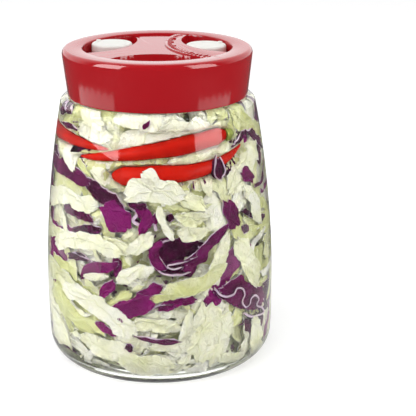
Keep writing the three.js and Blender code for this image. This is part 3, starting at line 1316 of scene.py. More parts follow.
@dataclass
class Leaf:
    """One torn or cut piece of cabbage, laid along a line on the unrolled glass.

    The roll turns it about its line at both ends, in degrees, and the cup bends it across.
    The pitch is its mesh's step, corner_gap the length of its straight tears, and crush how
    much of what would stand in the glass is pressed flat.
    """

    kind: Kind
    knots: list[Point]
    width: float
    roll: tuple[float, float] = (0.0, 0.0)
    cup: float = 0.0
    ripple: float = 0.8
    thick: float = 0.7
    ragged: float = 0.18
    tone: float = 0.5
    taper: float = 0.35
    slant: float = 0.0
    seed: int = 0
    pitch: float = 0.7
    over: bool = False
    scattered: bool = False
    nearest: float = 0.3
    corner_gap: float = 4.5
    crush: float = 0.93

    def depth(self) -> float:
        """Gives the mean depth of the leaf's line."""
        return float(np.mean([knot[2] for knot in self.knots]))

    def torn_edge(self, draw: np.random.Generator, along: np.ndarray, length: float) -> np.ndarray:
        """Gives one edge's reach along the leaf: straight tears between corners, and a fine rag.

        Args:
            draw: The leaf's own seeded draw.
            along: Places along the leaf from 0 to 1.
            length: The leaf's length.

        Returns:
            The reach at each place, as a share of half the width.
        """
        corners = max(5, int(length / self.corner_gap))
        places = np.linspace(0, 1, corners) + draw.uniform(-0.35, 0.35, corners) / corners
        places[0], places[-1] = 0, 1
        reach = 1 + 2.2 * self.ragged * draw.uniform(-1, 0.6, corners)
        reach[0], reach[-1] = self.taper * draw.uniform(0.5, 1.2, 2)
        phases = draw.uniform(0, 2 * math.pi, 2)
        fine = np.sin(along * length * 1.1 + phases[0]) + np.sin(along * length * 2.4 + phases[1])
        return np.interp(along, places, reach) + 0.2 * self.ragged * fine

    def surface(self) -> tuple[np.ndarray, np.ndarray, np.ndarray]:
        """Works out the leaf's middle surface on the unrolled glass.

        Returns:
            Grid points, and each one's place along and across the leaf in millimetres.
        """
        draw = np.random.default_rng(self.seed)
        knots = np.array(self.knots, float)
        length = float(np.linalg.norm(np.diff(knots, axis=0), axis=1).sum())
        rows = int(np.clip(length / self.pitch, 8, 110))
        columns = int(np.clip(self.width / (self.pitch * 1.15), 5, 44))
        spine = smooth_path(knots, rows)
        tangent = unit(np.gradient(spine, axis=0))
        flat = unit(np.cross(tangent, np.array([0.0, 0.0, -1.0])))
        normal = np.cross(flat, tangent)
        along = np.linspace(0, 1, rows)
        across = np.linspace(-1, 1, columns)
        roll = np.radians(np.interp(along, [0, 1], self.roll))[:, None]
        cross = np.cos(roll) * flat + np.sin(roll) * normal
        facing = np.cos(roll) * normal - np.sin(roll) * flat
        phases = draw.uniform(0, 2 * math.pi, 12)
        half = self.width / 2
        left_edge = half * self.torn_edge(draw, along, length)
        right_edge = half * self.torn_edge(draw, along, length)
        reach = np.where(across < 0, left_edge[:, None], right_edge[:, None]) * across
        if abs(self.cup) > 1e-3:
            bend = self.cup / half
            swing = np.sin(reach * bend) / bend
            lift = (1 - np.cos(reach * bend)) / bend
        else:
            swing, lift = reach, np.zeros_like(reach)
        place = along[:, None] * length
        lift = lift + self.ripple * self.folds(place, reach, across, phases)
        teeth = np.sin(across * 5 + phases[10]) + 0.6 * np.sin(across * 11 + phases[11])
        jag = 0.9 * self.ragged * half * teeth
        near_end = np.abs(2 * along - 1)[:, None] ** 4 * np.sign(along - 0.5)[:, None]
        slide = near_end * jag[None, :] + self.slant * reach * near_end**2
        grid = (
            spine[:, None]
            + cross[:, None] * swing[..., None]
            + facing[:, None] * lift[..., None]
            + tangent[:, None] * slide[..., None]
        )
        return grid, np.broadcast_to(place, (rows, columns)), reach

    @staticmethod
    def folds(place: np.ndarray, reach: np.ndarray, across: np.ndarray, phases: np.ndarray) -> np.ndarray:
        """Gives the leaf's ripples: waves that grow to the edges, creases and fine puckers.

        Args:
            place: Millimetres along the leaf.
            reach: Millimetres across it.
            across: Share of the way to each edge, from -1 to 1.
            phases: Where the waves start.

        Returns:
            The lift at each point, for a ripple of 1.
        """
        edge = across**2
        wave = np.sin(place * 0.55 + phases[6] + across * 1.6) * (0.25 + 0.75 * edge)
        wave += 0.6 * np.sin(place * 0.23 + reach * 0.32 + phases[7])
        wave += 0.35 * np.sin(place * 1.15 + phases[8] - across * 2.3) * edge
        wave += 0.3 * np.sin(reach * 0.9 + place * 0.2 + phases[9])
        wave -= 0.9 * np.abs(np.sin(reach * 0.33 + place * 0.1 + phases[2])) - 0.5
        wave += 0.22 * np.sin(reach * 1.5 - place * 0.9 + phases[0])
        return wave + 0.2 * np.sin(place * 1.7 + reach * 0.7 + phases[1])

    def shell(self, packing: Packing) -> tuple[np.ndarray, list, np.ndarray, np.ndarray] | None:
        """Lays the surface on what is packed already and thickens it into a closed leaf.

        Args:
            packing: What is packed already.

        Returns:
            Rolled points, faces, leaf places, and whether each face is a cut edge, or
            nothing where the leaf has no room.
        """
        grid, place, reach = self.surface()
        grid = packing.settled(self, grid)
        if grid is None:
            return None
        rows, columns = grid.shape[:2]
        normal = unit(np.cross(np.gradient(grid, axis=1), np.gradient(grid, axis=0)))
        half = self.thick / 2
        depth = grid[..., 2]
        short = Unrolled.CLEAR + half - depth
        grid[..., 2] = np.where(short > 0, depth + short * self.crush, depth)
        if not self.over:
            for chilli in CHILLIES:
                grid[..., 2] = np.maximum(grid[..., 2], chilli.back_of(grid))
        packing.mark(grid, self.thick)
        skin = np.stack([grid - normal * half, grid + normal * half]).reshape(-1, 3)
        count = rows * columns
        front = np.arange(count).reshape(rows, columns)
        back = front + count
        corners = (front[:-1, :-1], front[:-1, 1:], front[1:, 1:], front[1:, :-1])
        faces = np.stack(corners, axis=2).reshape(-1, 4).tolist()
        corners = (back[:-1, :-1], back[1:, :-1], back[1:, 1:], back[:-1, 1:])
        faces += np.stack(corners, axis=2).reshape(-1, 4).tolist()
        rim = np.concatenate([front[0], front[1:, -1], front[-1, -2::-1], front[-2:0:-1, 0]])
        after = np.roll(rim, -1)
        cut = np.repeat([0.0, 1.0], [len(faces), len(rim)])
        faces += np.stack([after, rim, rim + count, after + count], axis=1).tolist()
        lay = np.stack([place, reach, np.zeros_like(place)], axis=2).reshape(-1, 3)
        lay = np.vstack([lay, lay + np.array([0, 0, 5.0])])
        lay = lay + np.random.default_rng(self.seed + 7).uniform(0, 400, 3)
        return Unrolled.rolled(skin), faces, lay, cut


class LeafPile:
    """Gathers leaves of one kind into one mesh piece."""

    def __init__(self, name: str) -> None:
        """Starts an empty pile.

        Args:
            name: The name of the piece that it becomes.
        """
        self.name = name
        self.points: list[np.ndarray] = []
        self.faces: list[list[int]] = []
        self.lays: list[np.ndarray] = []
        self.cuts: list[np.ndarray] = []
        self.tones: list[np.ndarray] = []
        self.total = 0

    def add(self, leaf: Leaf, packing: Packing) -> None:
        """Adds one leaf's mesh, if there is room for it.

        Args:
            leaf: The leaf.
            packing: What is packed already, on which it is laid.
        """
        shell = leaf.shell(packing)
        if shell is None:
            return
        points, faces, lay, cut = shell
        self.points.append(points)
        self.faces += (np.array(faces) + self.total).tolist()
        self.lays.append(lay)
        self.cuts.append(cut)
        self.tones.append(np.full(len(points), leaf.tone))
        self.total += len(points)

    def build(self, material: bpy.types.Material) -> bpy.types.Object:
        """Makes the mesh piece.

        Args:
            material: The cabbage's finish.

        Returns:
            The piece, which stands for part of the cabbage node.
        """
        piece = mesh_piece(self.name, np.vstack(self.points), self.faces, material, 50)
        for name, kind, domain, field_name, rows in (
            ("leaf_place", "FLOAT_VECTOR", "POINT", "vector", self.lays),
            ("leaf_cut", "FLOAT", "FACE", "value", self.cuts),
            ("leaf_tone", "FLOAT", "POINT", "value", self.tones),
        ):
            attribute = piece.data.attributes.new(name, kind, domain)
            attribute.data.foreach_set(field_name, np.concatenate(rows).astype(np.float32).ravel())
        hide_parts("cabbage_heap")
        return piece


@dataclass(frozen=True)
class Laid:
    """A leaf that the photograph shows, by the pixels that its middle line passes."""

    kind: Kind
    line: tuple[Pixel, ...]
    width: float
    depth: float | tuple[float, float] = 0.9
    roll: tuple[float, float] = (0.0, 0.0)
    cup: float = 0.0
    ripple: float = 0.7
    thick: float = 0.7
    ragged: float = 0.16
    tone: float = 0.5
    taper: float = 0.4
    slant: float = 0.3
    over: bool = False

    def leaf(self, camera: PhotoCamera, seed: int) -> Leaf:
        """Lays the leaf on the unrolled glass.

        Args:
            camera: The photograph's camera.
            seed: Seed of its small irregularities.

        Returns:
            The leaf.
        """
        depths = self.depth if isinstance(self.depth, tuple) else (self.depth, self.depth)
        steps = np.linspace(0, 1, len(self.line))
        knots = []
        for pixel, step in zip(self.line, steps):
            deep = depths[0] + (depths[1] - depths[0]) * step
            knots.append((*camera.on_glass(pixel, deep), deep))
        return Leaf(
            self.kind, knots, self.width, self.roll, self.cup, self.ripple, self.thick,
            self.ragged, self.tone, self.taper, self.slant, seed, over=self.over,
        )


W, R = Kind.WHITE, Kind.RED

# Each row: kind, pixels of its middle line, width, depth, roll, cup, ripple, thickness, rag, tone,
# taper and slant, as the fields of Laid
SHOWN_LEAVES = (
    # Red cabbage, from the top down
    Laid(R, ((60, 106), (67, 109), (76, 112)), 5, 1.2, (30, 50), ripple=1.2, tone=0.1),
    Laid(R, ((63, 124), (72, 126), (80, 130)), 3, 0.5, tone=0.1),
    Laid(R, ((60, 137), (62, 147), (66, 156)), 8, 2.0, (20, 30), tone=0.0),
    Laid(R, ((143, 128), (147, 125), (150, 123)), 2.5, 0.5, tone=0.4),
    Laid(
        R, ((230, 149), (239, 136), (246, 133), (259, 149)),
        5, 1.5, (25, 40), ripple=1.3, thick=0.9, tone=0.25,
    ),
    Laid(
        R, ((55, 156), (66, 166), (80, 176), (92, 183)),
        8.5, 1.0, (-15, 10), ripple=0.5, thick=0.9, tone=0.45,
    ),
    Laid(
        R, ((88, 180), (102, 192), (114, 201), (122, 209)),
        10.5, 1.2, (10, 25), 0.25, 0.4, 0.9, tone=-0.1,
    ),
    Laid(R, ((104, 206), (116, 217), (128, 229)), 14, 0.9, (-20, -10), 0.2, 0.4, 0.9, 0.12, 1.0),
    Laid(R, ((130, 201), (138, 206), (147, 204)), 4, 1.2, (0, 30), tone=0.1),
    Laid(R, ((137, 205), (146, 217), (141, 234)), 7, 1.6, tone=0.8, ripple=0.4),
    Laid(
        R, ((132, 205), (138, 211), (135, 219), (143, 224), (154, 222), (156, 229)),
        6, 3.0, (90, 90), 0, 0.2, 1.7, 0.05,
    ),
    Laid(
        R, ((214, 155), (211, 170), (215, 178), (222, 171), (217, 157)),
        4.5, 2.3, (90, 90), 0, 0.2, 0.9, 0.05, 0.2, over=True,
    ),
    Laid(R, ((215, 158), (217, 178)), 5, 1.8, tone=0.1, over=True),
    Laid(R, ((208, 166), (198, 174), (193, 188)), 4, 2.0, (70, 80), 0, 0.3, 1.0, 0.05, 0.3),
    Laid(R, ((205, 170), (207, 192)), 4, 2.2, (20, 20), tone=0.5, ripple=0.4),
    Laid(R, ((239, 171), (245, 175), (250, 178)), 7.5, 0.8, ripple=0.3, tone=0.45, taper=0.7),
    Laid(R, ((226, 200), (229, 213), (235, 225)), 10, 1.2, (-10, 5), ripple=0.4, tone=0.5, taper=0.75),
    Laid(R, ((240, 225), (244, 231)), 5, 1.2, tone=0.1),
    Laid(
        R, ((226, 224), (216, 234), (205, 244), (195, 253)),
        6.5, (1.4, 2.2), (-20, -30), 0.3, 0.3, tone=0.6,
    ),
    Laid(R, ((70, 205), (82, 210), (96, 221)), 9, 2.4, (10, 10), tone=0.3),
    Laid(R, ((78, 228), (92, 229), (104, 226)), 6, 3.0, (-20, 20), tone=0.1),
    Laid(
        R, ((171, 236), (160, 239), (152, 249), (152, 260), (162, 270), (177, 272), (188, 269)),
        11, 6.0, (84, 84), 0, 0.2, 1.0, 0.04, 0.5,
    ),
    Laid(
        R, ((155, 248), (168, 252), (182, 253), (197, 249)),
        21, 7.6, (10, 10), 0.3, 0.5, tone=0.25, taper=0.6,
    ),
    Laid(
        R, ((162, 238), (155, 247), (156, 258), (166, 268)),
        6, (5.0, 3.6), (30, 30), tone=0.75, ripple=0.2, ragged=0.05,
    ),
    Laid(
        R, ((197, 246), (202, 249), (190, 258), (168, 264), (174, 268), (186, 263)),
        4, 2.0, (90, 90), 0, 0.2, 0.9, 0.05,
    ),
    Laid(R, ((206, 250), (196, 259), (182, 267)), 8.5, 2.4, (-20, -20), tone=0.65, ripple=0.4),
    Laid(R, ((72, 253), (80, 252), (90, 257), (98, 262)), 4, 2.0, (88, 88), 0, 0.3, 0.9, 0.05, 0.2),
    Laid(R, ((74, 255), (84, 256), (95, 263)), 4.5, 2.6, (20, 20), tone=0.05),
    Laid(R, ((84, 276), (96, 267), (110, 267), (120, 263)), 6, 1.3, tone=0.65, ripple=0.5),
    Laid(R, ((116, 256), (119, 266), (118, 277)), 6, 1.6, tone=0.5, ripple=0.4),
    Laid(R, ((103, 296), (108, 289), (116, 281)), 7, 1.4, (-10, 10), tone=0.85, ripple=0.4),
    Laid(
        R, ((112, 310), (128, 308), (144, 304), (156, 299)),
        13, 1.3, (-8, 8), 0.1, 0.4, ragged=0.14, tone=0.85,
    ),
    Laid(R, ((138, 300), (150, 292), (162, 286)), 8, 1.7, (5, 15), tone=0.75, ripple=0.4),
    Laid(R, ((158, 308), (172, 302), (182, 297), (194, 300)), 6.5, 1.8, (10, -10), tone=0.7, ripple=0.5),
    Laid(R, ((144, 313), (158, 305), (172, 303)), 3, 1.6, (80, 80), 0, 0.2, 1.0, 0.05, 0.2),
    Laid(R, ((218, 288), (232, 288), (246, 294), (256, 300)), 15, 3.0, (10, -10), tone=0.55, ripple=0.5),
    Laid(
        R,
        ((213, 288), (217, 293), (223, 295), (230, 293), (233, 287), (238, 287), (240, 293), (238, 300),
         (241, 306), (245, 303), (246, 297), (250, 294), (253, 298), (251, 304), (256, 307), (257, 311),
         (252, 314), (246, 315), (240, 312)),
        5, 2.2, (90, 90), 0, 0.1, 1.1, 0.02, taper=0.9,
    ),
    Laid(R, ((98, 321), (108, 328), (116, 335)), 5, 1.2, ripple=0.4, tone=0.8),
    Laid(R, ((135, 335), (158, 340), (181, 341)), 3.4, 1.0, (40, 40), ripple=0.3, thick=1.0, tone=0.3),
    Laid(R, ((126, 346), (134, 347)), 4.5, 1.0, tone=-0.1),
    Laid(R, ((152, 218), (159, 217)), 5, 2.4, tone=0.6),
    Laid(R, ((167, 215), (173, 218)), 4, 3.0, tone=0.0),
    # White cabbage, from the top down
    Laid(W, ((84, 112), (92, 120), (104, 126)), 8, 1.0, (10, 20), tone=0.5),
    Laid(W, ((116, 119), (135, 122), (160, 124), (184, 122)), 7, 2.2, (-10, 10), tone=0.75),
    Laid(W, ((86, 126), (98, 131), (114, 138)), 11, 5.5, (10, -15), 0.3, tone=0.7),
    Laid(
        W, ((122, 140), (145, 139), (170, 137), (198, 133)),
        11, 5.0, (4, -4), -0.35, 0.25, 1.4, 0.06, 0.85, 0.9,
    ),
    Laid(W, ((160, 128), (176, 126), (196, 124)), 5, 1.8, (20, -10), tone=0.7),
    Laid(W, ((186, 126), (198, 128), (211, 133)), 8, 1.2, (-15, 10), 0.4, tone=0.7),
    Laid(W, ((228, 110), (240, 122), (254, 134)), 12, 1.8, (10, 20), 0.2, 1.2, tone=0.1),
    Laid(W, ((164, 166), (186, 162), (212, 156), (232, 148)), 8, 5.0, (20, 10), -0.2, tone=0.45),
    Laid(W, ((68, 144), (72, 156), (77, 170)), 8, 1.0, (-15, 10), 0.2, tone=0.85),
    Laid(W, ((94, 168), (102, 172), (108, 184)), 8, 1.0, (-10, 25), 0.25, tone=0.6),
    Laid(
        W, ((126, 196), (138, 191), (150, 190), (166, 192), (184, 196)),
        13, 0.4, (4, -4), 0.0, 0.3, 0.7, 0.1, 0.8, 0.4, over=True,
    ),
    Laid(
        W, ((143, 172), (150, 178), (156, 190)),
        9, 0.35, (0, 0), 0.0, 0.3, 0.7, 0.1, 0.85, 0.25, 0.0, over=True,
    ),
    Laid(W, ((52, 196), (68, 195), (84, 202), (100, 205)), 9.5, 1.0, (-10, 20), 0.3, tone=0.7),
    Laid(W, ((212, 164), (206, 180), (208, 196)), 6, 1.4, (20, 20), tone=0.5),
    Laid(W, ((250, 142), (246, 156), (236, 176), (226, 192)), 14, 1.8, (10, -10), 0.15, 0.6, tone=0.55),
    Laid(W, ((178, 192), (190, 200), (204, 208)), 9, 1.7, (20, -20), 0.3, 0.9, tone=0.35),
    Laid(W, ((176, 214), (190, 220), (206, 216)), 9, 1.9, (-20, 20), 0.3, 1.1, tone=0.4),
    Laid(W, ((178, 230), (192, 234), (206, 230)), 8, 1.6, (15, -10), 0.4, 0.9, tone=0.45),
    Laid(
        W, ((160, 206), (161, 218), (167, 230), (172, 240)),
        4.5, 1.1, (0, 30), ripple=0.5, thick=1.3, tone=0.8,
    ),
    Laid(W, ((240, 186), (250, 200), (256, 222)), 9, 1.1, (0, 15), -0.3, 0.5, tone=0.75),
    Laid(W, ((53, 220), (62, 232), (74, 238)), 8, 1.4, (0, 20), tone=0.3),
    Laid(W, ((60, 240), (84, 239), (106, 246), (122, 254)), 9, 1.0, (15, -10), 0.2, 0.9, tone=0.6),
    Laid(W, ((100, 238), (120, 246), (134, 250)), 7, 1.8, (-10, 10), 0.2, tone=0.5),
    Laid(W, ((152, 234), (140, 244), (128, 252)), 8, 1.2, (10, 0), tone=0.55),
    Laid(W, ((118, 280), (134, 273), (154, 268)), 7, 1.0, (0, 15), -0.2, 0.4, 1.1, tone=0.85),
    Laid(W, ((86, 274), (98, 276), (110, 276)), 4.5, 1.0, (10, 0), tone=0.7),
    Laid(W, ((68, 284), (90, 298), (112, 316), (136, 334)), 12, 1.1, (20, -10), 0.3, 0.5, 1.0, tone=0.85),
    Laid(W, ((224, 262), (204, 280), (184, 288), (162, 294)), 9, (1.0, 1.2), (10, 20), 0.3, 0.9, tone=0.15),
    Laid(W, ((150, 298), (162, 297), (174, 295)), 4.5, 0.8, ripple=0.3, thick=1.5, tone=-0.1),
    Laid(W, ((214, 306), (208, 330), (200, 360)), 27, 1.4, (8, -8), 0.25, 0.7, 0.9, 0.12, 0.55, 0.7),
    Laid(W, ((190, 310), (186, 330), (184, 350)), 7, 1.0, (40, 20), 0.3, 0.4, tone=0.7),
    Laid(W, ((250, 316), (253, 336), (240, 362)), 12, 1.2, (10, -10), 0.2, tone=0.5),
    Laid(W, ((236, 238), (246, 258), (254, 284)), 13, 1.2, (15, -15), 0.3, 1.0, tone=0.4),
    Laid(W, ((226, 232), (219, 254), (208, 272)), 9, 1.1, (25, -10), 0.3, 1.0, tone=0.45),
    Laid(W, ((84, 334), (104, 346), (134, 352)), 13, 1.2, (10, -10), 0.2, 0.9, tone=0.6),
    Laid(W, ((120, 356), (142, 364), (174, 366)), 13, 1.2, (-10, 15), 0.2, 1.0, tone=0.45),
    Laid(W, ((130, 326), (152, 324), (180, 328)), 8, 1.8, (0, 10), tone=0.55),
    Laid(W, ((150, 346), (166, 344), (186, 348)), 7, 1.7, (0, 10), tone=0.65),
    Laid(W, ((55, 296), (62, 320), (74, 344)), 11, 1.5, (10, -10), tone=0.55),
    Laid(W, ((54, 258), (66, 274), (82, 290)), 11, 1.8, (10, 20), 0.2, tone=0.35),
    Laid(W, ((210, 350), (222, 356), (238, 352)), 8, 1.8, (0, 20), tone=0.6),
)


# The two strides spread numbered leaves evenly over a rectangle
STRIDE_ROUND = 0.7548777
STRIDE_UP = 0.5698403
JITTER = 0.03
ON_EDGE_SHARE = 0.14


@dataclass(frozen=True)
class LeafLayer:
    """How the leaves of one scattered layer are drawn: counts, depths and sizes.

    Depths behind the glass are given for the sides and back, and for the front. Widths are
    drawn up to the widest share of the length. Leaves on edge and the thin share of the near
    layer are narrow instead. The pitch is the step of their meshes, and start sets the
    layer's draws apart.
    """

    count: int
    depths: Pair
    front_depths: Pair
    lengths: Pair
    widest: float
    thin_share: float
    pitch: float
    start: int


@dataclass
class CabbageFilling:
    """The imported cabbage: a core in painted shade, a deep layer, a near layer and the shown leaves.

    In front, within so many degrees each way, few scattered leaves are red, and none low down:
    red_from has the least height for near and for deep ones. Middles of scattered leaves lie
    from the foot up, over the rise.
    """

    deep: LeafLayer = LeafLayer(140, (4.5, 7.0), (4.5, 7.0), (28.0, 48.0), 0.8, 0.0, 1.4, 1000)
    near: LeafLayer = LeafLayer(620, (0.9, 5.0), (2.2, 6.0), (20.0, 42.0), 0.5, 0.5, 1.15, 2000)
    red_share: float = 0.2
    red_share_front: float = 0.05
    red_from: tuple[float, float] = (30.0, 50.0)
    front: float = 72.0
    seed: int = 2286
    core_depth: float = 8.5
    top: float = 150.5
    foot: float = 9.0
    rise: float = 136.0

    def scattered(self, layer: LeafLayer) -> list[Leaf]:
        """Scatters a layer's leaves evenly over the glass by a seeded rule.

        Args:
            layer: What is drawn.

        Returns:
            The leaves.
        """
        near = layer is self.near
        draw = np.random.default_rng(self.seed + layer.start)
        leaves = []
        for i in range(layer.count):
            degrees = 360 * ((i * STRIDE_ROUND + JITTER * draw.uniform()) % 1) - 180
            height = self.foot + self.rise * ((i * STRIDE_UP + JITTER * draw.uniform()) % 1)
            in_front = abs(degrees) < self.front
            in_view = near and in_front
            depth = draw.uniform(*(layer.front_depths if in_front else layer.depths))
            length, knots = self.strewn_line(draw, degrees, height, depth, layer.lengths)
            red_share = self.red_share
            if in_front and (near or height < self.red_from[1]):
                red_share = self.red_share_front if near and height > self.red_from[0] else 0.0
            kind = Kind.RED if draw.uniform() < red_share else Kind.WHITE
            on_edge = draw.uniform() < ON_EDGE_SHARE
            roll = draw.uniform(70, 90, 2) if on_edge else draw.uniform(-38, 38, 2)
            thin = near and draw.uniform() < layer.thin_share
            width = length * draw.uniform(0.22, layer.widest)
            if thin or on_edge:
                width = draw.uniform(2.2, 4.6)
            leaf = Leaf(
                kind, knots, width,
                roll=tuple(roll),
                cup=draw.uniform(-0.5, 0.7),
                ripple=draw.uniform(0.4, 1.2),
                thick=draw.uniform(0.5, 1.0),
                ragged=draw.uniform(0.08, 0.22),
                tone=draw.uniform(-0.2, 1.0),
                taper=draw.uniform(0.2, 0.95),
                slant=draw.uniform(-0.8, 0.8),
                seed=self.seed + layer.start + i,
                pitch=layer.pitch,
                scattered=True,
                nearest=1.5 if in_view else 0.7,
            )
            leaves.append(leaf)
        return leaves

    @staticmethod
    def strewn_line(
        draw: np.random.Generator, degrees: float, height: float, depth: float, lengths: Pair
    ) -> tuple[float, list[Point]]:
        """Draws a scattered leaf's middle line, which mostly follows the lean of its neighbours.

        Args:
            draw: The layer's draw.
            degrees: Place round the jar.
            height: Height of its middle.
            depth: Depth behind the glass.
            lengths: Least and most length.

        Returns:
            The leaf's length and the line's points on the unrolled glass.
        """
        length = draw.uniform(*lengths)
        lean = 0.75 * math.sin(math.radians(degrees)) + 0.4 * math.sin(height / 17)
        heading = lean + draw.uniform(-0.7, 0.7) if draw.uniform() < 0.75 else draw.uniform(0, math.pi)
        swing = draw.uniform(-0.7, 0.7)
        middle = math.radians(degrees) * Unrolled.RADIUS
        knots = []
        for step in np.linspace(-0.5, 0.5, 5):
            x = middle + length * step * math.cos(heading + swing * step) + draw.uniform(-1.3, 1.3)
            y = height + length * step * math.sin(heading + swing * step) + draw.uniform(-1.3, 1.3)
            knots.append((x, y, depth + draw.uniform(-0.7, 1.5)))
        return length, knots

    def core(self) -> bpy.types.Object:
        """Makes the mass behind the leaves, whose dark colour is painted shade.

        Returns:
            The core object.
        """
        profile = [(0, JAR.floor + 0.8)]
        for z in np.linspace(JAR.floor + 1.2, self.top - 0.5, 90):
            profile.append((max(4.0, float(JAR.inner(z)) - self.core_depth), float(z)))
        profile.append((0, self.top))
        points, faces = turned(profile, 180)
        turn = np.arctan2(points[:, 1], points[:, 0])
        z = points[:, 2]
        lumps = np.sin(7 * turn + 0.13 * z)
        lumps += np.sin(13 * turn - 0.31 * z + 1.7)
        lumps += np.sin(4 * turn + 0.47 * z)
        lumps += 0.8 * np.sin(23 * turn + 0.71 * z) + 0.6 * np.sin(31 * turn - 0.93 * z)
        reach = np.hypot(points[:, 0], points[:, 1])
        share = 1 + np.where(reach > 3, 0.7 * lumps / np.maximum(reach, 1), 0)
        points = points * np.c_[share, share, np.ones(len(share))]
        piece = mesh_piece("cabbage_core", points, faces, PileFinish().build(), 60)
        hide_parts("cabbage_heap")
        return piece

    def build(self, camera: PhotoCamera) -> list[bpy.types.Object]:
        """Makes the core and the leaves.

        Args:
            camera: The photograph's camera, which places the shown leaves.

        Returns:
            The pieces of the filling.
        """
        shown = [laid.leaf(camera, self.seed + 31 * i) for i, laid in enumerate(SHOWN_LEAVES)]
        deep = self.scattered(self.deep)
        near = self.scattered(self.near)
        near.sort(key=Leaf.depth, reverse=True)
        shown.sort(key=Leaf.depth, reverse=True)
        packing = Packing()
        for leaf in shown:
            packing.keep(leaf.surface()[0], leaf.thick)
        packing.ease()
        piles = {}
        for label, leaves in (("deep", deep), ("near", near), ("shown", shown)):
            for leaf in leaves:
                pile = piles.setdefault((leaf.kind, label), LeafPile(f"{leaf.kind.value}_{label}"))
                pile.add(leaf, packing)
        finishes = {Kind.WHITE: WHITE_CABBAGE.build(), Kind.RED: RED_CABBAGE.build()}
        return [self.core()] + [pile.build(finishes[kind]) for (kind, _), pile in piles.items()]


# Stage


@dataclass(frozen=True)
class SoftLight:
    """A studio light aimed at the jar."""

    name: str
    place: Point
    size: tuple[float, float]
    power: float
    aim: Point = (0.0, 0.0, 0.08)
    mirrored: bool = False

    def build(self) -> None:
        """Makes the light, unseen by the camera."""
        data = bpy.data.lights.new(self.name, "AREA")
        data.shape = "RECTANGLE"
        data.size, data.size_y = self.size
        data.energy = self.power
        light = bpy.data.objects.new(self.name, data)
        light.location = self.place
        towards = Vector(self.aim) - Vector(self.place)
        light.rotation_euler = towards.to_track_quat("-Z", "Y").to_euler()
        light.visible_camera = False
        light.visible_glossy = self.mirrored
        light.visible_diffuse = not self.mirrored
        bpy.context.scene.collection.objects.link(light)


@dataclass(frozen=True)
class FloorCard:
    """A bright card on the floor beside the view, which only gloss mirrors."""

    name: str
    turns: tuple[float, float]
    near: float
    far: tuple[float, float]
    glow: float
    lift: float = 0.001
    steps: int = 25

    def build(self) -> None:
        """Makes the card."""
        turns = np.radians(np.linspace(*self.turns, self.steps))
        uneven = 1 + 0.03 * np.sin(turns * 37) + 0.02 * np.sin(turns * 71)
        reach = np.linspace(*self.far, self.steps) * uneven
        inner = [(self.near * math.cos(t), self.near * math.sin(t), self.lift) for t in turns]
        outer = [(r * math.cos(t), r * math.sin(t), self.lift) for t, r in zip(turns[::-1], reach[::-1])]
        corners = inner + outer
        card = new_object(self.name, corners, [tuple(range(len(corners)))], 1.0)
        material, tree, _, output = new_material(self.name)
        glowing = tree.add("Emission", {"Color": (1, 1, 1, 1), "Strength": self.glow})
        tree.feed(output, {"Surface": glowing.outputs[0]})
        card.data.materials.append(material)
        card.visible_camera = False
        card.visible_diffuse = False
        card.visible_transmission = False
        card.visible_shadow = False


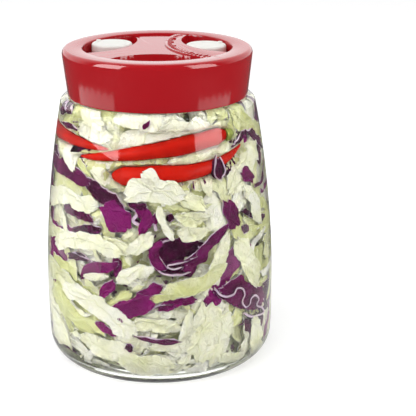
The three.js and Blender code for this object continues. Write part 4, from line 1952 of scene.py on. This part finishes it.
@dataclass(frozen=True)
class Studio:
    """The pale floor, the soft room, the lights and the cards that the gloss mirrors."""

    floor_size: float = 6.0
    room: tuple[float, float] = (0.56, 0.6)
    mirrored_room: tuple[float, float] = (0.1, 1.35)
    mirrored_floor: float = 0.1
    mirrored_near: float = 0.75
    near_reach: tuple[float, float] = (0.12, 0.2)
    floor_glow: float = 0.4
    floor_through_glass: float = 0.9
    lights: tuple[SoftLight, ...] = (
        SoftLight("softbox_left", (-0.68, -0.42, 0.62), (0.5, 1.0), 14.0, (0.0, 0.0, 0.62), True),
        SoftLight("softbox_right", (0.68, -0.42, 0.63), (0.48, 1.0), 10.0, (0.0, 0.0, 0.63), True),
        SoftLight("top", (-0.3, -0.4, 1.4), (0.7, 0.7), 6.1),
        SoftLight("key", (-0.85, -0.5, 0.6), (0.35, 0.35), 1.35),
        SoftLight("fill", (0.9, -0.4, 0.5), (0.5, 0.5), 1.75),
    )
    cards: tuple[FloorCard, ...] = (
        FloorCard("floor_card_left", (160.0, 218.0), 0.24, (0.545, 0.44), 1.7),
        FloorCard("floor_card_right", (322.0, 372.0), 0.24, (0.4, 0.46), 1.6),
    )

    def floor(self) -> None:
        """Makes the pale floor.

        Its extra glow is seen by the camera, through glass and, close to the jar, in gloss.
        Through glass it is not seen by light that has bounced off the jar's filling.
        """
        half = self.floor_size / 2
        corners = [(-half, -half, 0), (half, -half, 0), (half, half, 0), (-half, half, 0)]
        floor = new_object("floor", corners, [(0, 1, 2, 3)], 1.0)
        material, tree, shader, _ = new_material("pale_floor")
        place = tree.add("TexCoord").outputs["Object"]
        tone = Groups.mottle(tree, place, 2.0, 50.0)
        colour = tree.mix(tone.outputs["Patches"], (0.86, 0.86, 0.86), (0.88, 0.88, 0.88))
        path = tree.add("LightPath").outputs
        gloss = tree.math("MINIMUM", path["Glossy Depth"], 1.0)
        seen = tree.math("MULTIPLY", path["Is Camera Ray"], self.floor_glow)
        bounced = tree.math("MINIMUM", path["Diffuse Depth"], 1.0)
        straight = tree.math("MULTIPLY_ADD", bounced, -self.floor_through_glass, self.floor_through_glass)
        glow = tree.math("MULTIPLY_ADD", path["Is Transmission Ray"], straight, seen)
        reach = tree.add("VectorMath", {0: place}, operation="LENGTH").outputs["Value"]
        near = tree.span(reach, self.mirrored_near, 0.0, *self.near_reach)
        look = {
            "Base Color": tree.mix(gloss, colour, (self.mirrored_floor,) * 3),
            "Roughness": 0.7,
            "Specular IOR Level": 0.2,
            "Emission Color": (1, 1, 1, 1),
            "Emission Strength": tree.math("MULTIPLY_ADD", path["Is Glossy Ray"], near, glow),
        }
        tree.feed(shader, look)
        floor.data.materials.append(material)

    def surround(self) -> bpy.types.World:
        """Makes the soft room: dim towards the front, bright behind.

        Returns:
            The world.
        """
        world = bpy.data.worlds.new("studio")
        world.use_nodes = True
        background = world.node_tree.nodes["Background"]
        background.inputs["Color"].default_value = (1, 1, 1, 1)
        tree = Tree(world.node_tree)
        direction = tree.add("TexCoord").outputs["Generated"]
        ahead = tree.add("SeparateXYZ", {"Vector": direction}).outputs["Y"]
        behind = tree.span(ahead, 0.0, 1.0, -0.1, 0.35)
        path = tree.add("LightPath").outputs
        lit = tree.span(behind, *self.room)
        mirrored = tree.span(behind, *self.mirrored_room)
        gloss = tree.math("MINIMUM", path["Glossy Depth"], 1.0)
        step = tree.math("MULTIPLY", tree.math("SUBTRACT", mirrored, lit), gloss)
        strength = tree.math("ADD", lit, step)
        tree.feed(background, {"Strength": tree.math("MAXIMUM", strength, path["Is Camera Ray"])})
        return world

    def build(self) -> None:
        """Makes the floor, the cards, the lights and the room."""
        scene = bpy.context.scene
        scene.view_settings.view_transform = "Standard"
        scene.view_settings.look = "None"
        scene.world = self.surround()
        self.floor()
        for card in self.cards:
            card.build()
        for light in self.lights:
            light.build()


CHILLIES = (
    Chilli(
        "chilli_left",
        4.3,
        0.5,
        (
            (-110, 124, 0), (-92, 126.2, 0), (-74, 126.5, 0), (-56, 126.3, 0),
            (-44, 125.9, 0.2), (-35, 125.5, 0.8), (-28, 125.3, 2),
        ),
    ),
    Chilli(
        "chilli_upper",
        4.9,
        0.9,
        (
            (49, 131, 0), (36, 130.6, 0), (22, 129.1, 0), (6, 127, 0),
            (-10, 124.9, 0), (-26, 122.4, 0), (-38, 120.6, 0), (-50, 119.2, 0),
        ),
        stem=True,
    ),
    Chilli(
        "chilli_lower",
        5.3,
        0.9,
        (
            (-26, 112.6, 0), (-14, 113.2, 0), (2, 113.9, 0), (18, 114.4, 0),
            (32, 115.9, 0), (46, 118.8, 0), (60, 123.4, 0),
        ),
    ),
)


def main() -> None:
    """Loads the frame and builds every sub-assembly."""
    logging.basicConfig(level=logging.INFO, format="%(message)s")
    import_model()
    camera = PhotoCamera()
    camera.build()
    built = [GlassJar().build(), Brine().build(), Lid().build()]
    white = PLUG_WHITE.build()
    built.append(VentPlug("vent_plug_left", 153.0, 170.0).build(white))
    built.append(VentPlug("vent_plug_right", 24.0, 169.4).build(white))
    skin, green = CHILLI_RED.build(), STALK_GREEN.build()
    for chilli in CHILLIES:
        built += chilli.build(skin, green)
    built += CabbageFilling().build(camera)
    Studio().build()
    for piece in built:
        LOG.info("%s: %d faces", piece.name, len(piece.data.polygons))
    bpy.context.view_layer.update()


if __name__ == "__main__":
    main()
